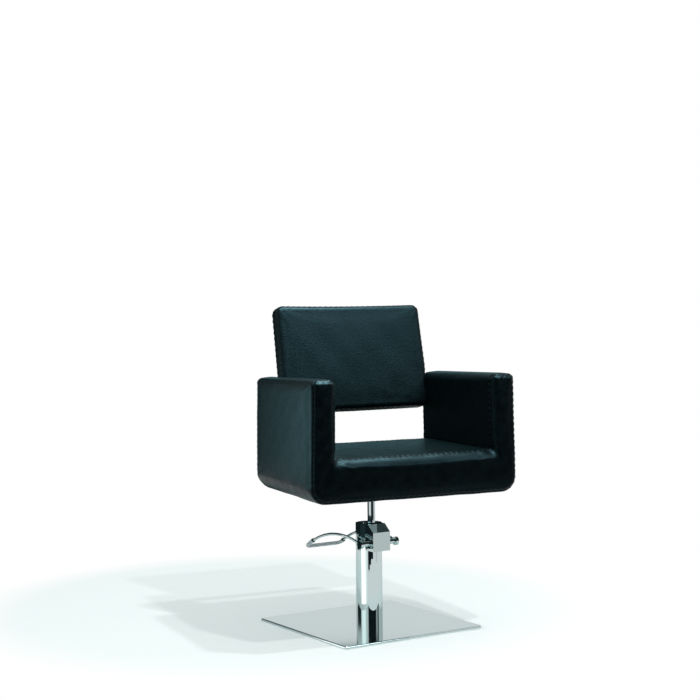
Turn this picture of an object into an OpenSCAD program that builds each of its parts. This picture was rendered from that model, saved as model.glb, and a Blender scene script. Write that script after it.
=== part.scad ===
// Hairdressing chair: an upholstered U-shaped shell and a reclined back pad
// on a foot-pumped hydraulic column with a square base plate.
// The origin lies on the floor under the piston rod, which is the axis that the
// seat turns about. +X is the sitter's left, +Y the rear and +Z up.

/* [Seat shell] */
// Outside width of the shell at the seat
shell_w = 618; // [560:1:660]
// Front edge of the shell ahead of the rod
shell_front = 288; // [250:1:310]
// Rear edge of the shell behind the rod
shell_rear = 131; // [100:1:140]
// Height of the shell's underside above the floor
seat_z = 402; // [396:1:440]
// Height of the arm tops above the underside
arm_h = 325; // [300:1:350]
// Thickness of the upholstered arms
arm_t = 71; // [64:1:84]
// Thickness of the seat at its edges
seat_t = 115; // [105:1:130]
// Rise of the seat's middle above its edges
seat_crown = 5; // [0:0.5:8]
// Radius of the shell's lower outer corners
corner_r = 43; // [34:1:50]
// Radius of the soft front and rear edges
soft_r = 21; // [14:0.5:24]
// Swell of the arms' flat sides
arm_crown = 3; // [0:0.5:4]

/* [Back pad] */
// Gap between the back pad and each arm
back_gap = 12; // [9:0.5:24]
// Height of the back pad along its slope
back_h = 309; // [270:1:330]
// Thickness of the back pad
back_t = 56; // [50:1:64]
// Recline of the back pad in degrees
back_lean = 12; // [8:0.5:15]
// Front lower edge of the pad behind the rod
back_y = 85; // [78:1:90]
// Front lower edge of the pad above the shell's underside
back_z = 218; // [214:1:232]
// Swell of the pad's front face
back_crown = 6; // [2:0.5:9]

/* [Base] */
// Side of the square base plate
plate_w = 466; // [430:1:500]
// Height of the plate's top above the floor
plate_h = 8; // [7:0.5:10]
// Radius of the plate's corners in plan
plate_r = 11; // [8:0.5:16]
// Turn of the base and pump under the seat in degrees
base_turn = 8.7; // [0:0.1:15]

/* [Pump] */
// Outside diameter of the column tube
column_d = 76; // [72:0.5:80]
// Distance of the column's axis behind the rod
column_back = 14; // [12:0.5:15]
// Height of the pump head's top above the floor
head_top = 298; // [285:1:304]
// Height of the pump head
head_h = 76; // [70:1:80]
// Diameter of the piston rod
rod_d = 22; // [20:0.5:24]
// Travel of the seat below and above the height shown
travel_down = 90; // [60:1:90]
travel_up = 50; // [30:1:50]

/* [Pedal] */
// Distance of the side wires from the middle of the pedal
pedal_half = 60; // [56:0.5:64]
// Distance from the shaft back to the foot bar
pedal_reach = 296; // [270:1:310]
// Drop from the shaft down to the foot bar
pedal_drop = 43; // [30:1:50]
// Rise of the side wires above a straight line
pedal_arch = 34; // [24:1:40]
// Diameter of the pedal wire
wire_d = 8; // [7:0.5:9]

/* [Hidden] */
$fn = 64;

// Clearances: overrun of cuts, running fit, seated faces, foam round a board
cut = 1;
run_gap = 0.05;
seat_gap = 0.2;
foam_gap = 0.3;

// Colours
leather_c = [0.06, 0.07, 0.075];
chrome_c = [0.80, 0.83, 0.84];
steel_c = [0.62, 0.66, 0.67];
ply_c = [0.78, 0.64, 0.44];
rubber_c = [0.12, 0.12, 0.12];
bronze_c = [0.72, 0.52, 0.28];

// Base plate
mat_t = 1;
mat_inset = 9;
skin_t = 1.2;
skin_lift = 0.6;
skin_edge_r = 4;
core_gap = 0.3;

// Column and what is inside it
column_r = column_d / 2;
column_wall = 2;
tube_fit = 0.2;
foot_h = 20;
foot_socket = 8;
cyl_bore_r = 16;
cyl_wall = 3.5;
cyl_r = cyl_bore_r + cyl_wall;
foot_bolt_n = 4;
foot_bolt_ring = 27;
foot_bolt_r = 3;
foot_bolt_head_r = 5.6;
foot_bolt_head_h = 3;
foot_bolt_grip = 12;
head_z = head_top - head_h;
neck_h = 20;
neck_socket = 6;

// Rod and piston
rod_r = rod_d / 2;
bush_wall = 2.8;
bush_r = rod_r + run_gap + bush_wall;
bush_h = 78;
wiper_wall = 4.6;
wiper_r = rod_r + run_gap + wiper_wall;
wiper_h = 6;
wiper_lip = 2;
piston_h = 20;
piston_clear = 14;
piston_z = plate_h + foot_h + travel_down + piston_clear;
pin_r = 7;
pin_tail = 10;
groove_h = 5;
groove_depth = 2.6;
ring_h = 4;

// Linkage housing on the front of the head
house_half = 29;
house_front = 52;
house_wall = 3;
house_drop = 21;
house_slope = 26;
house_sole = 1;
shaft_y = -34;
shaft_drop = 53;
shaft_z = head_top - shaft_drop;
shaft_r = 7;
shaft_bush_wall = 2.5;
shaft_flange_r = 12.5;
shaft_flange_t = 2.5;
relief_y = -17;
relief_rim = 4;

// Cam and plunger
cam_x = 20.5;
cam_t = 7;
cam_r = 12;
cam_reach = 18;
cam_nose_r = 4.5;
cam_web = 7;
plunger_r = 5;
plunger_len = 40;
spring_r = 9.2;
spring_wire_r = 0.8;
spring_len = 22;
spring_x = -14;
spring_turns = 7;

// Pedal
hub_r = 12;
hub_t = 9;
hub_in = 1;
grub_r = 2;
grub_slot_r = 0.9;
grub_slot = 1.5;
wire_r = wire_d / 2;
bend_r = 13;
grip_wall = 1.4;
grip_left = 42;
grip_right = 16;
collar_wall = 2.4;
collar_t = 5;
wire_sides = 12;
arc_steps = 14;
bend_steps = 5;

// Chord, radius and half angle of the arched side wires
chord = sqrt(pow(pedal_reach, 2) + pow(pedal_drop, 2));
chord_tilt = -atan2(pedal_drop, pedal_reach);
arch_r = (pow(chord / 2, 2) + pow(pedal_arch, 2)) / (2 * pedal_arch);
arch_half = asin(chord / 2 / arch_r);
arch_start = -arch_half + (shaft_r + hub_in) / arch_r * 180 / PI;
arch_end = arch_half - bend_r / arch_r * 180 / PI;

// Socket, boards and their fasteners under and inside the shell
board_t = 18;
board_z = 8;
board_front = 24;
board_rear = 22;
side_board_t = 15;
side_board_in = 38;
side_board_x = shell_w / 2 - side_board_in;
side_board_down = 30;
side_board_h = arm_h - board_z - side_board_down;
side_board_front = 42;
side_board_rear = 6;
lip = 30;
lip_rear = 14;
socket_w = 150;
socket_t = 5;
socket_top = 46;
socket_r = 20;
socket_depth = 40;
socket_bolt_pitch = 110;
socket_bolt_r = 4;
socket_head_r = 7;
socket_head_h = 4;
screw_r = 3;
screw_head_r = 5.5;
screw_head_h = 4;
screw_len = 55;
screw_inset = 70;
screw_ys = [screw_inset - shell_front, (shell_rear - shell_front) / 2, shell_rear - screw_inset];

// Outline of the shell
lean_share = 0.018;
inner_r = 7;
arm_top_r = 17;
arm_top_crown = 2;
band_crown = 2;
flat_steps = 6;
corner_steps = 6;
side_steps = 6;
top_steps = 3;
edge_steps = 3;
swell_shares = [0.22, 0.5, 0.78];

// Outline of the back pad
back_w = shell_w - 2 * (arm_t + back_gap);
pad_corner_r = 22;
pad_edge_r = 9;
pad_draw = 4;
pad_waist = 0.8;
pad_rear_crown = 2;
pad_corner_steps = 5;
pad_side_shares = [0.25, 0.5, 0.75];
pad_face_shares = [0.3, 0.6, 0.85];
pad_round_share = 0.3;

// Board, studs and spacers of the back
back_board_rim = 22;
back_board_w = back_w - 2 * back_board_rim;
back_board_t = 15;
back_board_up = 14;
back_board_down = 36;
back_board_h = back_h - back_board_up - back_board_down;
back_board_in = 11;
stud_r = 4;
stud_in = 34;
stud_up = [22, 58];
spacer_r = 9;

shell_half = shell_w / 2;
seat_inner = shell_half - arm_t - lean_share * (seat_t - corner_r);
shell_d = shell_front + shell_rear;

// Turns the base, pump and pedal under the seat
module base_frame() rotate([0, 0, base_turn]) children();

// Places a piece on the column's axis in the base frame
module on_column() base_frame() translate([0, column_back, 0]) children();

// Places a piece in the back pad's own frame, at its front lower edge
module back_frame()
    translate([0, back_y, seat_z + back_z]) rotate([-back_lean, 0, 0]) children();

module ring(outer_r, inner_r, h) {
    difference() {
        cylinder(r = outer_r, h = h);
        translate([0, 0, -cut]) cylinder(r = inner_r, h = h + 2 * cut);
    }
}

// Square slab with round corners in plan and a rounded upper edge
module soft_slab(w, h, corner, edge) {
    inner = w / 2 - corner;
    straight = w - 2 * corner;
    for (a = [0, 90]) rotate([0, 0, a])
        translate([-inner, -w / 2, 0]) cube([straight, w, h - edge]);
    for (a = [0, 90]) rotate([0, 0, a])
        translate([-inner, edge - w / 2, 0]) cube([straight, w - 2 * edge, h]);
    for (a = [0:90:270]) rotate([0, 0, a]) {
        translate([inner, inner, 0]) cylinder(r = corner, h = h - edge);
        translate([inner, inner, 0]) cylinder(r = corner - edge, h = h);
        translate([inner, inner, h - edge])
            rotate_extrude() translate([corner - edge, 0]) circle(r = edge, $fn = 32);
        translate([-inner, w / 2 - edge, h - edge])
            rotate([0, 90, 0]) cylinder(r = edge, h = straight, $fn = 32);
    }
}

module floor_mat() {
    color(rubber_c) on_column()
        translate([mat_inset - plate_w / 2, mat_inset - plate_w / 2, 0])
            cube([plate_w - 2 * mat_inset, plate_w - 2 * mat_inset, mat_t]);
}

module bolt_ring(r) {
    for (i = [0:foot_bolt_n - 1]) rotate([0, 0, 45 + i * 360 / foot_bolt_n])
        translate([r, 0, 0]) children();
}

core_top = plate_h - skin_t - seat_gap;

module base_plate() {
    w = plate_w - 2 * (skin_edge_r + core_gap);
    corner = plate_r - skin_edge_r;
    color(steel_c) on_column() difference() {
        translate([0, 0, mat_t]) union() {
            for (a = [0, 90]) rotate([0, 0, a])
                translate([corner - w / 2, -w / 2, 0])
                    cube([w - 2 * corner, w, core_top - mat_t]);
            for (a = [0:90:270]) rotate([0, 0, a])
                translate([w / 2 - corner, w / 2 - corner, 0])
                    cylinder(r = corner, h = core_top - mat_t);
        }
        bolt_ring(foot_bolt_ring) {
            cylinder(r = foot_bolt_r + seat_gap, h = plate_h);
            cylinder(r = foot_bolt_head_r + seat_gap, h = mat_t + foot_bolt_head_h + seat_gap);
        }
    }
}

module base_cover() {
    w = plate_w - 2 * skin_t;
    corner = plate_r - skin_t;
    inner_h = plate_h - skin_t;
    color(steel_c) on_column() difference() {
        translate([0, 0, skin_lift])
            soft_slab(plate_w, plate_h - skin_lift, plate_r, skin_edge_r);
        translate([0, 0, -cut]) soft_slab(w, inner_h + cut, corner, skin_edge_r - skin_t);
        bolt_ring(foot_bolt_ring) cylinder(r = foot_bolt_r + seat_gap, h = plate_h + cut);
    }
}

module foot_bolts() {
    color(steel_c) on_column() bolt_ring(foot_bolt_ring) translate([0, 0, mat_t]) {
        cylinder(r = foot_bolt_head_r, h = foot_bolt_head_h);
        cylinder(r = foot_bolt_r, h = plate_h - mat_t + foot_bolt_grip);
    }
}

foot_r = column_r - column_wall - tube_fit;

module pump_foot() {
    color(steel_c) difference() {
        on_column() translate([0, 0, plate_h]) cylinder(r = foot_r, h = foot_h);
        on_column() translate([0, 0, plate_h - cut])
            bolt_ring(foot_bolt_ring)
                cylinder(r = foot_bolt_r + run_gap, h = foot_bolt_grip + seat_gap + cut);
        base_frame() translate([0, 0, plate_h + foot_h - foot_socket])
            cylinder(r = cyl_r + run_gap, h = foot_socket + cut);
    }
}

module column_tube() {
    color(chrome_c) on_column() translate([0, 0, plate_h])
        ring(column_r, column_r - column_wall, head_z - plate_h - seat_gap);
}

module pump_cylinder() {
    base = plate_h + foot_h - foot_socket;
    top = head_z - neck_h + neck_socket;
    color(steel_c) base_frame() translate([0, 0, base])
        ring(cyl_r, cyl_bore_r, top - base - seat_gap);
}

module pump_head() {
    color(chrome_c) difference() {
        union() {
            on_column() translate([0, 0, head_z]) cylinder(r = column_r, h = head_h);
            on_column() translate([0, 0, head_z - neck_h]) cylinder(r = foot_r, h = neck_h + cut);
        }
        base_frame() {
            translate([0, 0, head_z - neck_h - cut])
                cylinder(r = bush_r + run_gap, h = neck_h + head_h + 2 * cut);
            translate([0, 0, head_z - neck_h - cut])
                cylinder(r = cyl_r + run_gap, h = neck_socket + cut);
            translate([0, 0, head_top - wiper_h])
                cylinder(r = wiper_r + run_gap, h = wiper_h + cut);
            translate([house_wall - house_half, relief_y - column_r, head_z + relief_rim])
                cube([2 * (house_half - house_wall), column_r, head_h - 2 * relief_rim]);
            translate([cam_x, plunger_tip - plunger_len - cut, shaft_z + cam_reach])
                rotate([-90, 0, 0]) cylinder(r = plunger_r + run_gap, h = plunger_room);
            translate([plug_x, plug_y, head_top - plug_depth])
                cylinder(r = plug_r + seat_gap, h = plug_depth + cut);
        }
    }
}

// Plunger: its nose rests on the cam and its tail runs back into the head
plunger_nose = shaft_y + cam_nose_r + run_gap;
plunger_tip = plunger_nose + plunger_len;
plunger_stroke = 9;
plunger_room = plunger_len + plunger_stroke + 2 * cut;

module pump_plunger() {
    color(steel_c) base_frame() translate([cam_x, plunger_nose, shaft_z + cam_reach])
        rotate([-90, 0, 0]) cylinder(r = plunger_r, h = plunger_len);
}

plug_x = -12;
plug_y = 19;
plug_r = 3.5;
plug_depth = 10;
plug_head_r = 4.6;
plug_head_h = 2;
plug_slot = 1.2;

module filler_plug() {
    color(steel_c) base_frame() translate([plug_x, plug_y, head_top]) difference() {
        union() {
            translate([0, 0, seat_gap]) cylinder(r = plug_head_r, h = plug_head_h);
            translate([0, 0, seat_gap - plug_depth]) cylinder(r = plug_r, h = plug_depth);
        }
        translate([-plug_head_r, -plug_slot / 2, seat_gap + plug_head_h - plug_slot])
            cube([2 * plug_head_r, plug_slot, plug_slot + cut]);
    }
}

// Side profile of the housing: square below, sloped at the upper front
module house_profile(front, sole, roof, slope, drop) {
    polygon([
        [-front, sole], [0, sole], [0, roof],
        [-front + slope, roof], [-front, roof - drop]
    ]);
}

module linkage_housing() {
    wall = house_wall;
    slope_share = house_slope / house_drop;
    sole_z = head_z + house_sole;
    color(chrome_c) difference() {
        base_frame() translate([house_half, 0, 0]) rotate([90, 0, -90])
            linear_extrude(2 * house_half)
                mirror([1, 0]) house_profile(house_front, sole_z, head_top, house_slope, house_drop);
        base_frame() translate([house_half - wall, 0, 0]) rotate([90, 0, -90])
            linear_extrude(2 * (house_half - wall))
                mirror([1, 0]) translate([cut, 0]) house_profile(
                    house_front - wall + cut, sole_z + wall, head_top - wall,
                    house_slope - wall / 2, house_drop - wall / 2);
        on_column() cylinder(r = column_r + seat_gap, h = head_top + cut);
        base_frame() translate([-house_half - cut, shaft_y, shaft_z]) rotate([0, 90, 0])
            cylinder(r = shaft_r + run_gap + shaft_bush_wall + run_gap, h = 2 * (house_half + cut));
    }
}

// Two pieces along the pedal shaft, one each side, facing outwards
module both_sides(x) {
    for (s = [0, 1]) mirror([s, 0, 0])
        translate([x, shaft_y, shaft_z]) rotate([0, 90, 0]) children();
}

module shaft_bushes() {
    color(bronze_c) base_frame() both_sides(house_half - house_wall) difference() {
        union() {
            cylinder(r = shaft_r + run_gap + shaft_bush_wall, h = house_wall + cut);
            translate([0, 0, house_wall + seat_gap])
                cylinder(r = shaft_flange_r, h = shaft_flange_t);
        }
        translate([0, 0, -cut])
            cylinder(r = shaft_r + run_gap, h = house_wall + shaft_flange_t + 3 * cut);
    }
}

module rod_bush() {
    color(bronze_c) base_frame()
        translate([0, 0, head_top - wiper_h - seat_gap - bush_h])
            ring(bush_r, rod_r + run_gap, bush_h);
}

module rod_wiper() {
    color(rubber_c) base_frame() translate([0, 0, head_top - wiper_h]) difference() {
        union() {
            cylinder(r = wiper_r, h = wiper_h);
            cylinder(r1 = wiper_r, r2 = rod_r + wiper_lip, h = wiper_h + wiper_lip);
        }
        translate([0, 0, -cut])
            cylinder(r = rod_r + run_gap, h = wiper_h + wiper_lip + 2 * cut);
    }
}

// Points of one ring of a round tube, square to the direction d
function unit(v) = v / norm(v);
function tube_ring(p, d, r, sides, side_axis) =
    let (u = unit(cross(d, side_axis)), v = unit(cross(u, d)))
    [for (i = [0:sides - 1]) p + r * (cos(360 * i / sides) * u + sin(360 * i / sides) * v)];

// Closed tube through the points p with the directions d; u is steered by axes
module tube(p, d, axes, r, sides) {
    n = len(p);
    points = [for (i = [0:n - 1]) each tube_ring(p[i], d[i], r, sides, axes[i])];
    faces = concat(
        [[for (j = [0:sides - 1]) sides - 1 - j]],
        [for (i = [0:n - 2]) for (j = [0:sides - 1])
            let (k = (j + 1) % sides)
            each [[i * sides + j, i * sides + k, (i + 1) * sides + j],
                  [i * sides + k, (i + 1) * sides + k, (i + 1) * sides + j]]],
        [[for (j = [0:sides - 1]) (n - 1) * sides + j]]
    );
    polyhedron(points, faces, convexity = 6);
}

// Torsion spring round the shaft, with its coils running along X
module return_spring() {
    steps = spring_turns * 12;
    turn = [for (i = [0:steps]) 360 * spring_turns * i / steps];
    p = [for (a = turn) [
        spring_x + spring_len * (a / 360 / spring_turns - 1 / 2),
        shaft_y + spring_r * cos(a), shaft_z + spring_r * sin(a)
    ]];
    d = [for (a = turn) unit([
        spring_len / spring_turns / (2 * PI), -spring_r * sin(a), spring_r * cos(a)
    ])];
    color(steel_c) base_frame() tube(p, d, [for (a = turn) [1, 0, 0]], spring_wire_r, 6);
}

module piston() {
    color(steel_c) base_frame() translate([0, 0, piston_z]) difference() {
        cylinder(r = cyl_bore_r - run_gap, h = piston_h);
        translate([0, 0, -cut]) cylinder(r = pin_r + run_gap, h = piston_h + 2 * cut);
        translate([0, 0, (piston_h - groove_h) / 2])
            ring(cyl_bore_r + cut, cyl_bore_r - groove_depth, groove_h);
    }
}

module piston_seal() {
    color(rubber_c) base_frame()
        translate([0, 0, piston_z + (piston_h - ring_h) / 2])
            ring(cyl_bore_r - run_gap, cyl_bore_r - groove_depth + run_gap, ring_h);
}

rod_top = seat_z + socket_depth - seat_gap;

module piston_rod() {
    color(chrome_c) base_frame() {
        translate([0, 0, piston_z - pin_tail]) cylinder(r = pin_r, h = pin_tail + piston_h + cut);
        translate([0, 0, piston_z + piston_h + run_gap])
            cylinder(r = rod_r, h = rod_top - piston_z - piston_h - run_gap);
    }
}

retainer_t = 5;
retainer_wall = 4;

module rod_retainer() {
    color(steel_c) base_frame() translate([0, 0, piston_z - retainer_t - run_gap])
        ring(pin_r + retainer_wall, pin_r + run_gap, retainer_t);
}

shaft_half = pedal_half + hub_t / 2;

module pedal_shaft() {
    color(chrome_c) base_frame() translate([-shaft_half, shaft_y, shaft_z])
        rotate([0, 90, 0]) cylinder(r = shaft_r, h = 2 * shaft_half);
}

// Where a side wire is at an angle of its arch, and which way it runs
function arch_place(a) =
    let (along = chord / 2 + arch_r * sin(a), up = arch_r * (cos(a) - cos(arch_half)))
    [along * cos(chord_tilt) - up * sin(chord_tilt) + shaft_y,
     along * sin(chord_tilt) + up * cos(chord_tilt) + shaft_z];
function arch_dir(a) = [cos(chord_tilt - a), sin(chord_tilt - a)];

module along_wire(side, a) {
    place = arch_place(a);
    dir = arch_dir(a);
    translate([side * pedal_half, place[0], place[1]])
        rotate([atan2(dir[1], dir[0]) - 90, 0, 0]) children();
}

module pedal_hubs() {
    color(chrome_c) base_frame() difference() {
        both_sides(pedal_half - hub_t / 2) ring(hub_r, shaft_r + run_gap, hub_t);
        for (s = [-1, 1]) along_wire(s, arch_start)
            translate([0, 0, -hub_in / 2]) cylinder(r = wire_r + 2 * run_gap, h = hub_r);
        for (s = [-1, 1]) translate([s * pedal_half, shaft_y, shaft_z - hub_r - cut])
            cylinder(r = grub_r + run_gap, h = hub_r);
    }
}

module hub_screws() {
    deep = hub_r - shaft_r - 2 * run_gap;
    color(steel_c) base_frame()
        for (s = [-1, 1]) translate([s * pedal_half, shaft_y, shaft_z - hub_r]) difference() {
            cylinder(r = grub_r, h = deep - seat_gap);
            translate([0, 0, -cut]) cylinder(r = grub_slot_r, h = grub_slot + cut, $fn = 6);
        }
}

module pedal_cam() {
    color(steel_c) base_frame() difference() {
        union() {
            translate([cam_x - cam_t / 2, shaft_y, shaft_z]) rotate([0, 90, 0])
                cylinder(r = cam_r, h = cam_t);
            translate([cam_x - cam_t / 2, shaft_y - cam_web / 2, shaft_z])
                cube([cam_t, cam_web, cam_reach]);
            translate([cam_x - cam_t / 2, shaft_y, shaft_z + cam_reach]) rotate([0, 90, 0])
                cylinder(r = cam_nose_r, h = cam_t);
        }
        translate([cam_x - cam_t, shaft_y, shaft_z]) rotate([0, 90, 0])
            cylinder(r = shaft_r + run_gap, h = 2 * cam_t);
    }
}

// Path of the pedal wire: left arch, bend, foot bar, bend, right arch
function side_point(s, a) = let (q = arch_place(a)) [s * pedal_half, q[0], q[1]];
function side_dir(a) = let (q = arch_dir(a)) [0, q[0], q[1]];
function bend_point(s, a) =
    side_point(s, arch_end) + bend_r * ([-s, 0, 0] * (1 - cos(a)) + side_dir(arch_end) * sin(a));
function bend_dir(s, a) = [-s, 0, 0] * sin(a) + side_dir(arch_end) * cos(a);

// Angles of the arch from its start at the hub, or from the grip, to the bend
function arch_angles(from, steps) =
    [for (i = [0:steps]) from + (arch_end - from) * i / steps];
bend_angles = [for (i = [1:bend_steps]) 90 * i / bend_steps];

function loop_points(left, right, steps) = concat(
    [for (a = arch_angles(left, steps)) side_point(-1, a)],
    [for (a = bend_angles) bend_point(-1, a)],
    [for (i = [1:bend_steps]) bend_point(1, bend_angles[bend_steps - i])],
    [for (i = [0:steps]) side_point(1, arch_angles(right, steps)[steps - i])]
);
function loop_dirs(left, right, steps) = concat(
    [for (a = arch_angles(left, steps)) side_dir(a)],
    [for (a = bend_angles) bend_dir(-1, a)],
    [for (i = [1:bend_steps]) -bend_dir(1, bend_angles[bend_steps - i])],
    [for (i = [0:steps]) -side_dir(arch_angles(right, steps)[steps - i])]
);

// Steady side axis of each ring, square to the plane of the bends
loop_normal = cross([1, 0, 0], side_dir(arch_end));
function loop_axes(left, right, steps) = concat(
    [for (a = arch_angles(left, steps)) cross([1, 0, 0], side_dir(a))],
    [for (i = [1:2 * bend_steps]) loop_normal],
    [for (i = [0:steps]) cross([1, 0, 0], side_dir(arch_angles(right, steps)[steps - i]))]
);

module pedal_loop() {
    color(chrome_c) base_frame() tube(
        loop_points(arch_start, arch_start, arc_steps),
        loop_dirs(arch_start, arch_start, arc_steps),
        loop_axes(arch_start, arch_start, arc_steps), wire_r, wire_sides);
}

// Arch angles at which the grip sleeve begins, measured back from the bends
grip_a = arch_end - (grip_left - bend_r) / arch_r * 180 / PI;
grip_b = arch_end - (grip_right - bend_r) / arch_r * 180 / PI;
grip_over = cut / arch_r * 180 / PI;
grip_bore_r = wire_r + seat_gap;
grip_steps = 3;

module pedal_grip() {
    color(steel_c) base_frame() difference() {
        tube(loop_points(grip_a, grip_b, grip_steps), loop_dirs(grip_a, grip_b, grip_steps),
            loop_axes(grip_a, grip_b, grip_steps), grip_bore_r + grip_wall, wire_sides);
        tube(loop_points(grip_a - grip_over, grip_b - grip_over, grip_steps),
            loop_dirs(grip_a - grip_over, grip_b - grip_over, grip_steps),
            loop_axes(grip_a - grip_over, grip_b - grip_over, grip_steps),
            grip_bore_r, wire_sides);
    }
}

module grip_collars() {
    color(chrome_c) base_frame() for (q = [[-1, grip_a], [1, grip_b]])
        along_wire(q[0], q[1]) translate([0, 0, -collar_t - seat_gap])
            ring(wire_r + collar_wall, wire_r + seat_gap, collar_t);
}

// Socket plate under the board, with a hub that takes the rod's top
module socket_spots() {
    for (x = [-1, 1]) for (y = [-1, 1])
        translate([x * socket_bolt_pitch / 2, y * socket_bolt_pitch / 2, 0]) children();
}

module seat_socket() {
    plate_z = seat_z + board_z - socket_t - seat_gap;
    color(steel_c) difference() {
        union() {
            translate([-socket_w / 2, -socket_w / 2, plate_z]) cube([socket_w, socket_w, socket_t]);
            translate([0, 0, plate_z]) cylinder(r = socket_r, h = seat_z + socket_top - plate_z);
        }
        translate([0, 0, plate_z - cut])
            cylinder(r = rod_r + run_gap, h = seat_z + socket_depth - plate_z + cut);
        translate([0, 0, plate_z - cut]) socket_spots()
            cylinder(r = socket_bolt_r + seat_gap, h = socket_t + 2 * cut);
    }
}

module socket_bolts() {
    head_z = seat_z + board_z - socket_t - 2 * seat_gap - socket_head_h;
    color(steel_c) socket_spots() translate([0, 0, head_z]) difference() {
        union() {
            cylinder(r = socket_head_r, h = socket_head_h);
            cylinder(r = socket_bolt_r, h = socket_head_h + socket_t + board_t);
        }
        translate([0, 0, -cut])
            cylinder(r = socket_bolt_r, h = socket_head_h / 2 + cut, $fn = 6);
    }
}

board_half = side_board_x - side_board_t / 2 - seat_gap;

module board_blank(grow) {
    translate([-board_half, board_front - shell_front - grow, seat_z + board_z - grow])
        cube([2 * board_half, shell_d - board_front - board_rear + 2 * grow, board_t + 2 * grow]);
}

module side_blank(s, grow) {
    translate([s * side_board_x - side_board_t / 2 - grow,
            side_board_front - shell_front - grow, seat_z + board_z - grow])
        cube([side_board_t + 2 * grow,
            shell_d - side_board_front - side_board_rear + 2 * grow, side_board_h + 2 * grow]);
}

// Screws through the side boards into the ends of the bottom board
module screw_spots(s) {
    for (y = screw_ys) translate([s * (side_board_x + side_board_t / 2), y,
            seat_z + board_z + board_t / 2]) rotate([0, -s * 90, 0]) children();
}

module screw_hole() {
    translate([0, 0, -cut]) cylinder(r = screw_r + run_gap, h = screw_len + cut + seat_gap);
    translate([0, 0, -cut]) cylinder(r = screw_head_r + run_gap, h = screw_head_h + cut + seat_gap);
}

module bottom_board() {
    color(ply_c) difference() {
        board_blank(0);
        translate([0, 0, seat_z]) cylinder(r = socket_r + seat_gap, h = board_z + board_t + cut);
        translate([0, 0, seat_z]) socket_spots()
            cylinder(r = socket_bolt_r + run_gap, h = board_z + board_t + cut);
        screw_spots(-1) screw_hole();
        screw_spots(1) screw_hole();
    }
}

module side_board(s) {
    color(ply_c) difference() {
        side_blank(s, 0);
        screw_spots(s) screw_hole();
        stud_axes() cylinder(r = stud_r + run_gap, h = shell_w, center = true);
    }
}

module side_board_left() side_board(1);
module side_board_right() side_board(-1);

module frame_screws() {
    color(steel_c) for (s = [-1, 1]) screw_spots(s) {
        cylinder(r = screw_head_r, h = screw_head_h);
        cylinder(r = screw_r, h = screw_len);
    }
}

// One station of the U: outer point, inner point, inset, outer and inner swell
function flat_station(q) =
    [[q * (shell_half - corner_r), 0], [q * (seat_inner - inner_r), seat_t],
     0, 0, seat_crown * (1 - q * q)];
function corner_station(a) =
    [[shell_half - corner_r + corner_r * sin(a), corner_r * (1 - cos(a))],
     [seat_inner - inner_r + inner_r * sin(a), seat_t + inner_r * (1 - cos(a))], 0, 0, 0];
function side_x(z) = shell_half - lean_share * (z - corner_r);
function inner_x(z) = seat_inner - lean_share * (z - seat_t - inner_r);
function side_station(q) =
    let (top = arm_h - arm_top_r, low = seat_t + inner_r,
        zo = corner_r + (top - corner_r) * q, zi = low + (top - low) * q)
    [[side_x(zo), zo], [inner_x(zi), zi], 0,
     arm_crown * sin(180 * q), arm_crown * sin(180 * q)];
function top_station(a) =
    let (z = arm_h - arm_top_r * (1 - sin(a)))
    [[side_x(z), z], [inner_x(z), z], arm_top_r * (1 - cos(a)), 0, 0];

right_half = concat(
    [for (i = [0:flat_steps - 1]) flat_station(i / flat_steps)],
    [for (i = [0:corner_steps]) corner_station(90 * i / corner_steps)],
    [for (i = [1:side_steps]) side_station(i / side_steps)],
    [for (i = [1:top_steps]) top_station(90 * i / top_steps)]
);

// Quarter round of a ring's corner, from angle b, at centre (t, y)
function round_corner(t, y, r, b) =
    [for (i = [0:edge_steps]) let (a = b + 90 * i / edge_steps) [t + r * cos(a), y + r * sin(a)]];

// Section of the shell at a station: pairs of distance from the inner face and y
function shell_section(st) =
    let (thick = norm(st[0] - st[1]), e = st[2],
        r = max(soft_r - e, soft_r / 5),
        y0 = e - shell_front, y1 = shell_rear - e, mid = thick / 2,
        swell = [for (q = swell_shares) sin(180 * q)])
    concat(
        round_corner(thick - e - r, y1 - r, r, 0),
        [[mid, y1]],
        round_corner(e + r, y1 - r, r, 90),
        [for (i = [0:2]) [e - st[4] * swell[i], y1 + (y0 - y1) * swell_shares[i]]],
        round_corner(e + r, y0 + r, r, 180),
        [[mid, y0 - band_crown * (e > 0 ? 0 : 1)]],
        round_corner(thick - e - r, y0 + r, r, 270),
        [for (i = [0:2]) [thick - e + st[3] * swell[i], y0 + (y1 - y0) * swell_shares[i]]]
    );

function shell_ring(st, side) =
    let (n = unit(st[0] - st[1]))
    [for (q = shell_section(st))
        [side * (st[1][0] + n[0] * q[0]), q[1], seat_z + st[1][1] + n[1] * q[0]]];

shell_rings = concat(
    [for (i = [len(right_half) - 1:-1:1]) shell_ring(right_half[i], -1)],
    [for (st = right_half) shell_ring(st, 1)]
);
function middle(ps) = [for (p = ps) 1 / len(ps)] * ps;

// Skin over a row of equal rings, closed at each end by a fan to one point
module skin(rings, first, last) {
    m = len(rings[0]);
    n = len(rings);
    points = concat([first], [for (r = rings) each r], [last]);
    faces = concat(
        [for (j = [0:m - 1]) [0, 1 + j, 1 + (j + 1) % m]],
        [for (i = [0:n - 2]) for (j = [0:m - 1])
            let (a = 1 + i * m + j, b = 1 + i * m + (j + 1) % m)
            each [[a, a + m, b], [b, a + m, b + m]]],
        [for (j = [0:m - 1]) [n * m + 1, 1 + (n - 1) * m + (j + 1) % m, 1 + (n - 1) * m + j]]
    );
    polyhedron(points, faces, convexity = 8);
}

module shell_form() {
    n = len(shell_rings);
    up = [0, 0, arm_top_crown];
    skin(shell_rings, middle(shell_rings[0]) + up, middle(shell_rings[n - 1]) + up);
}

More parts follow.
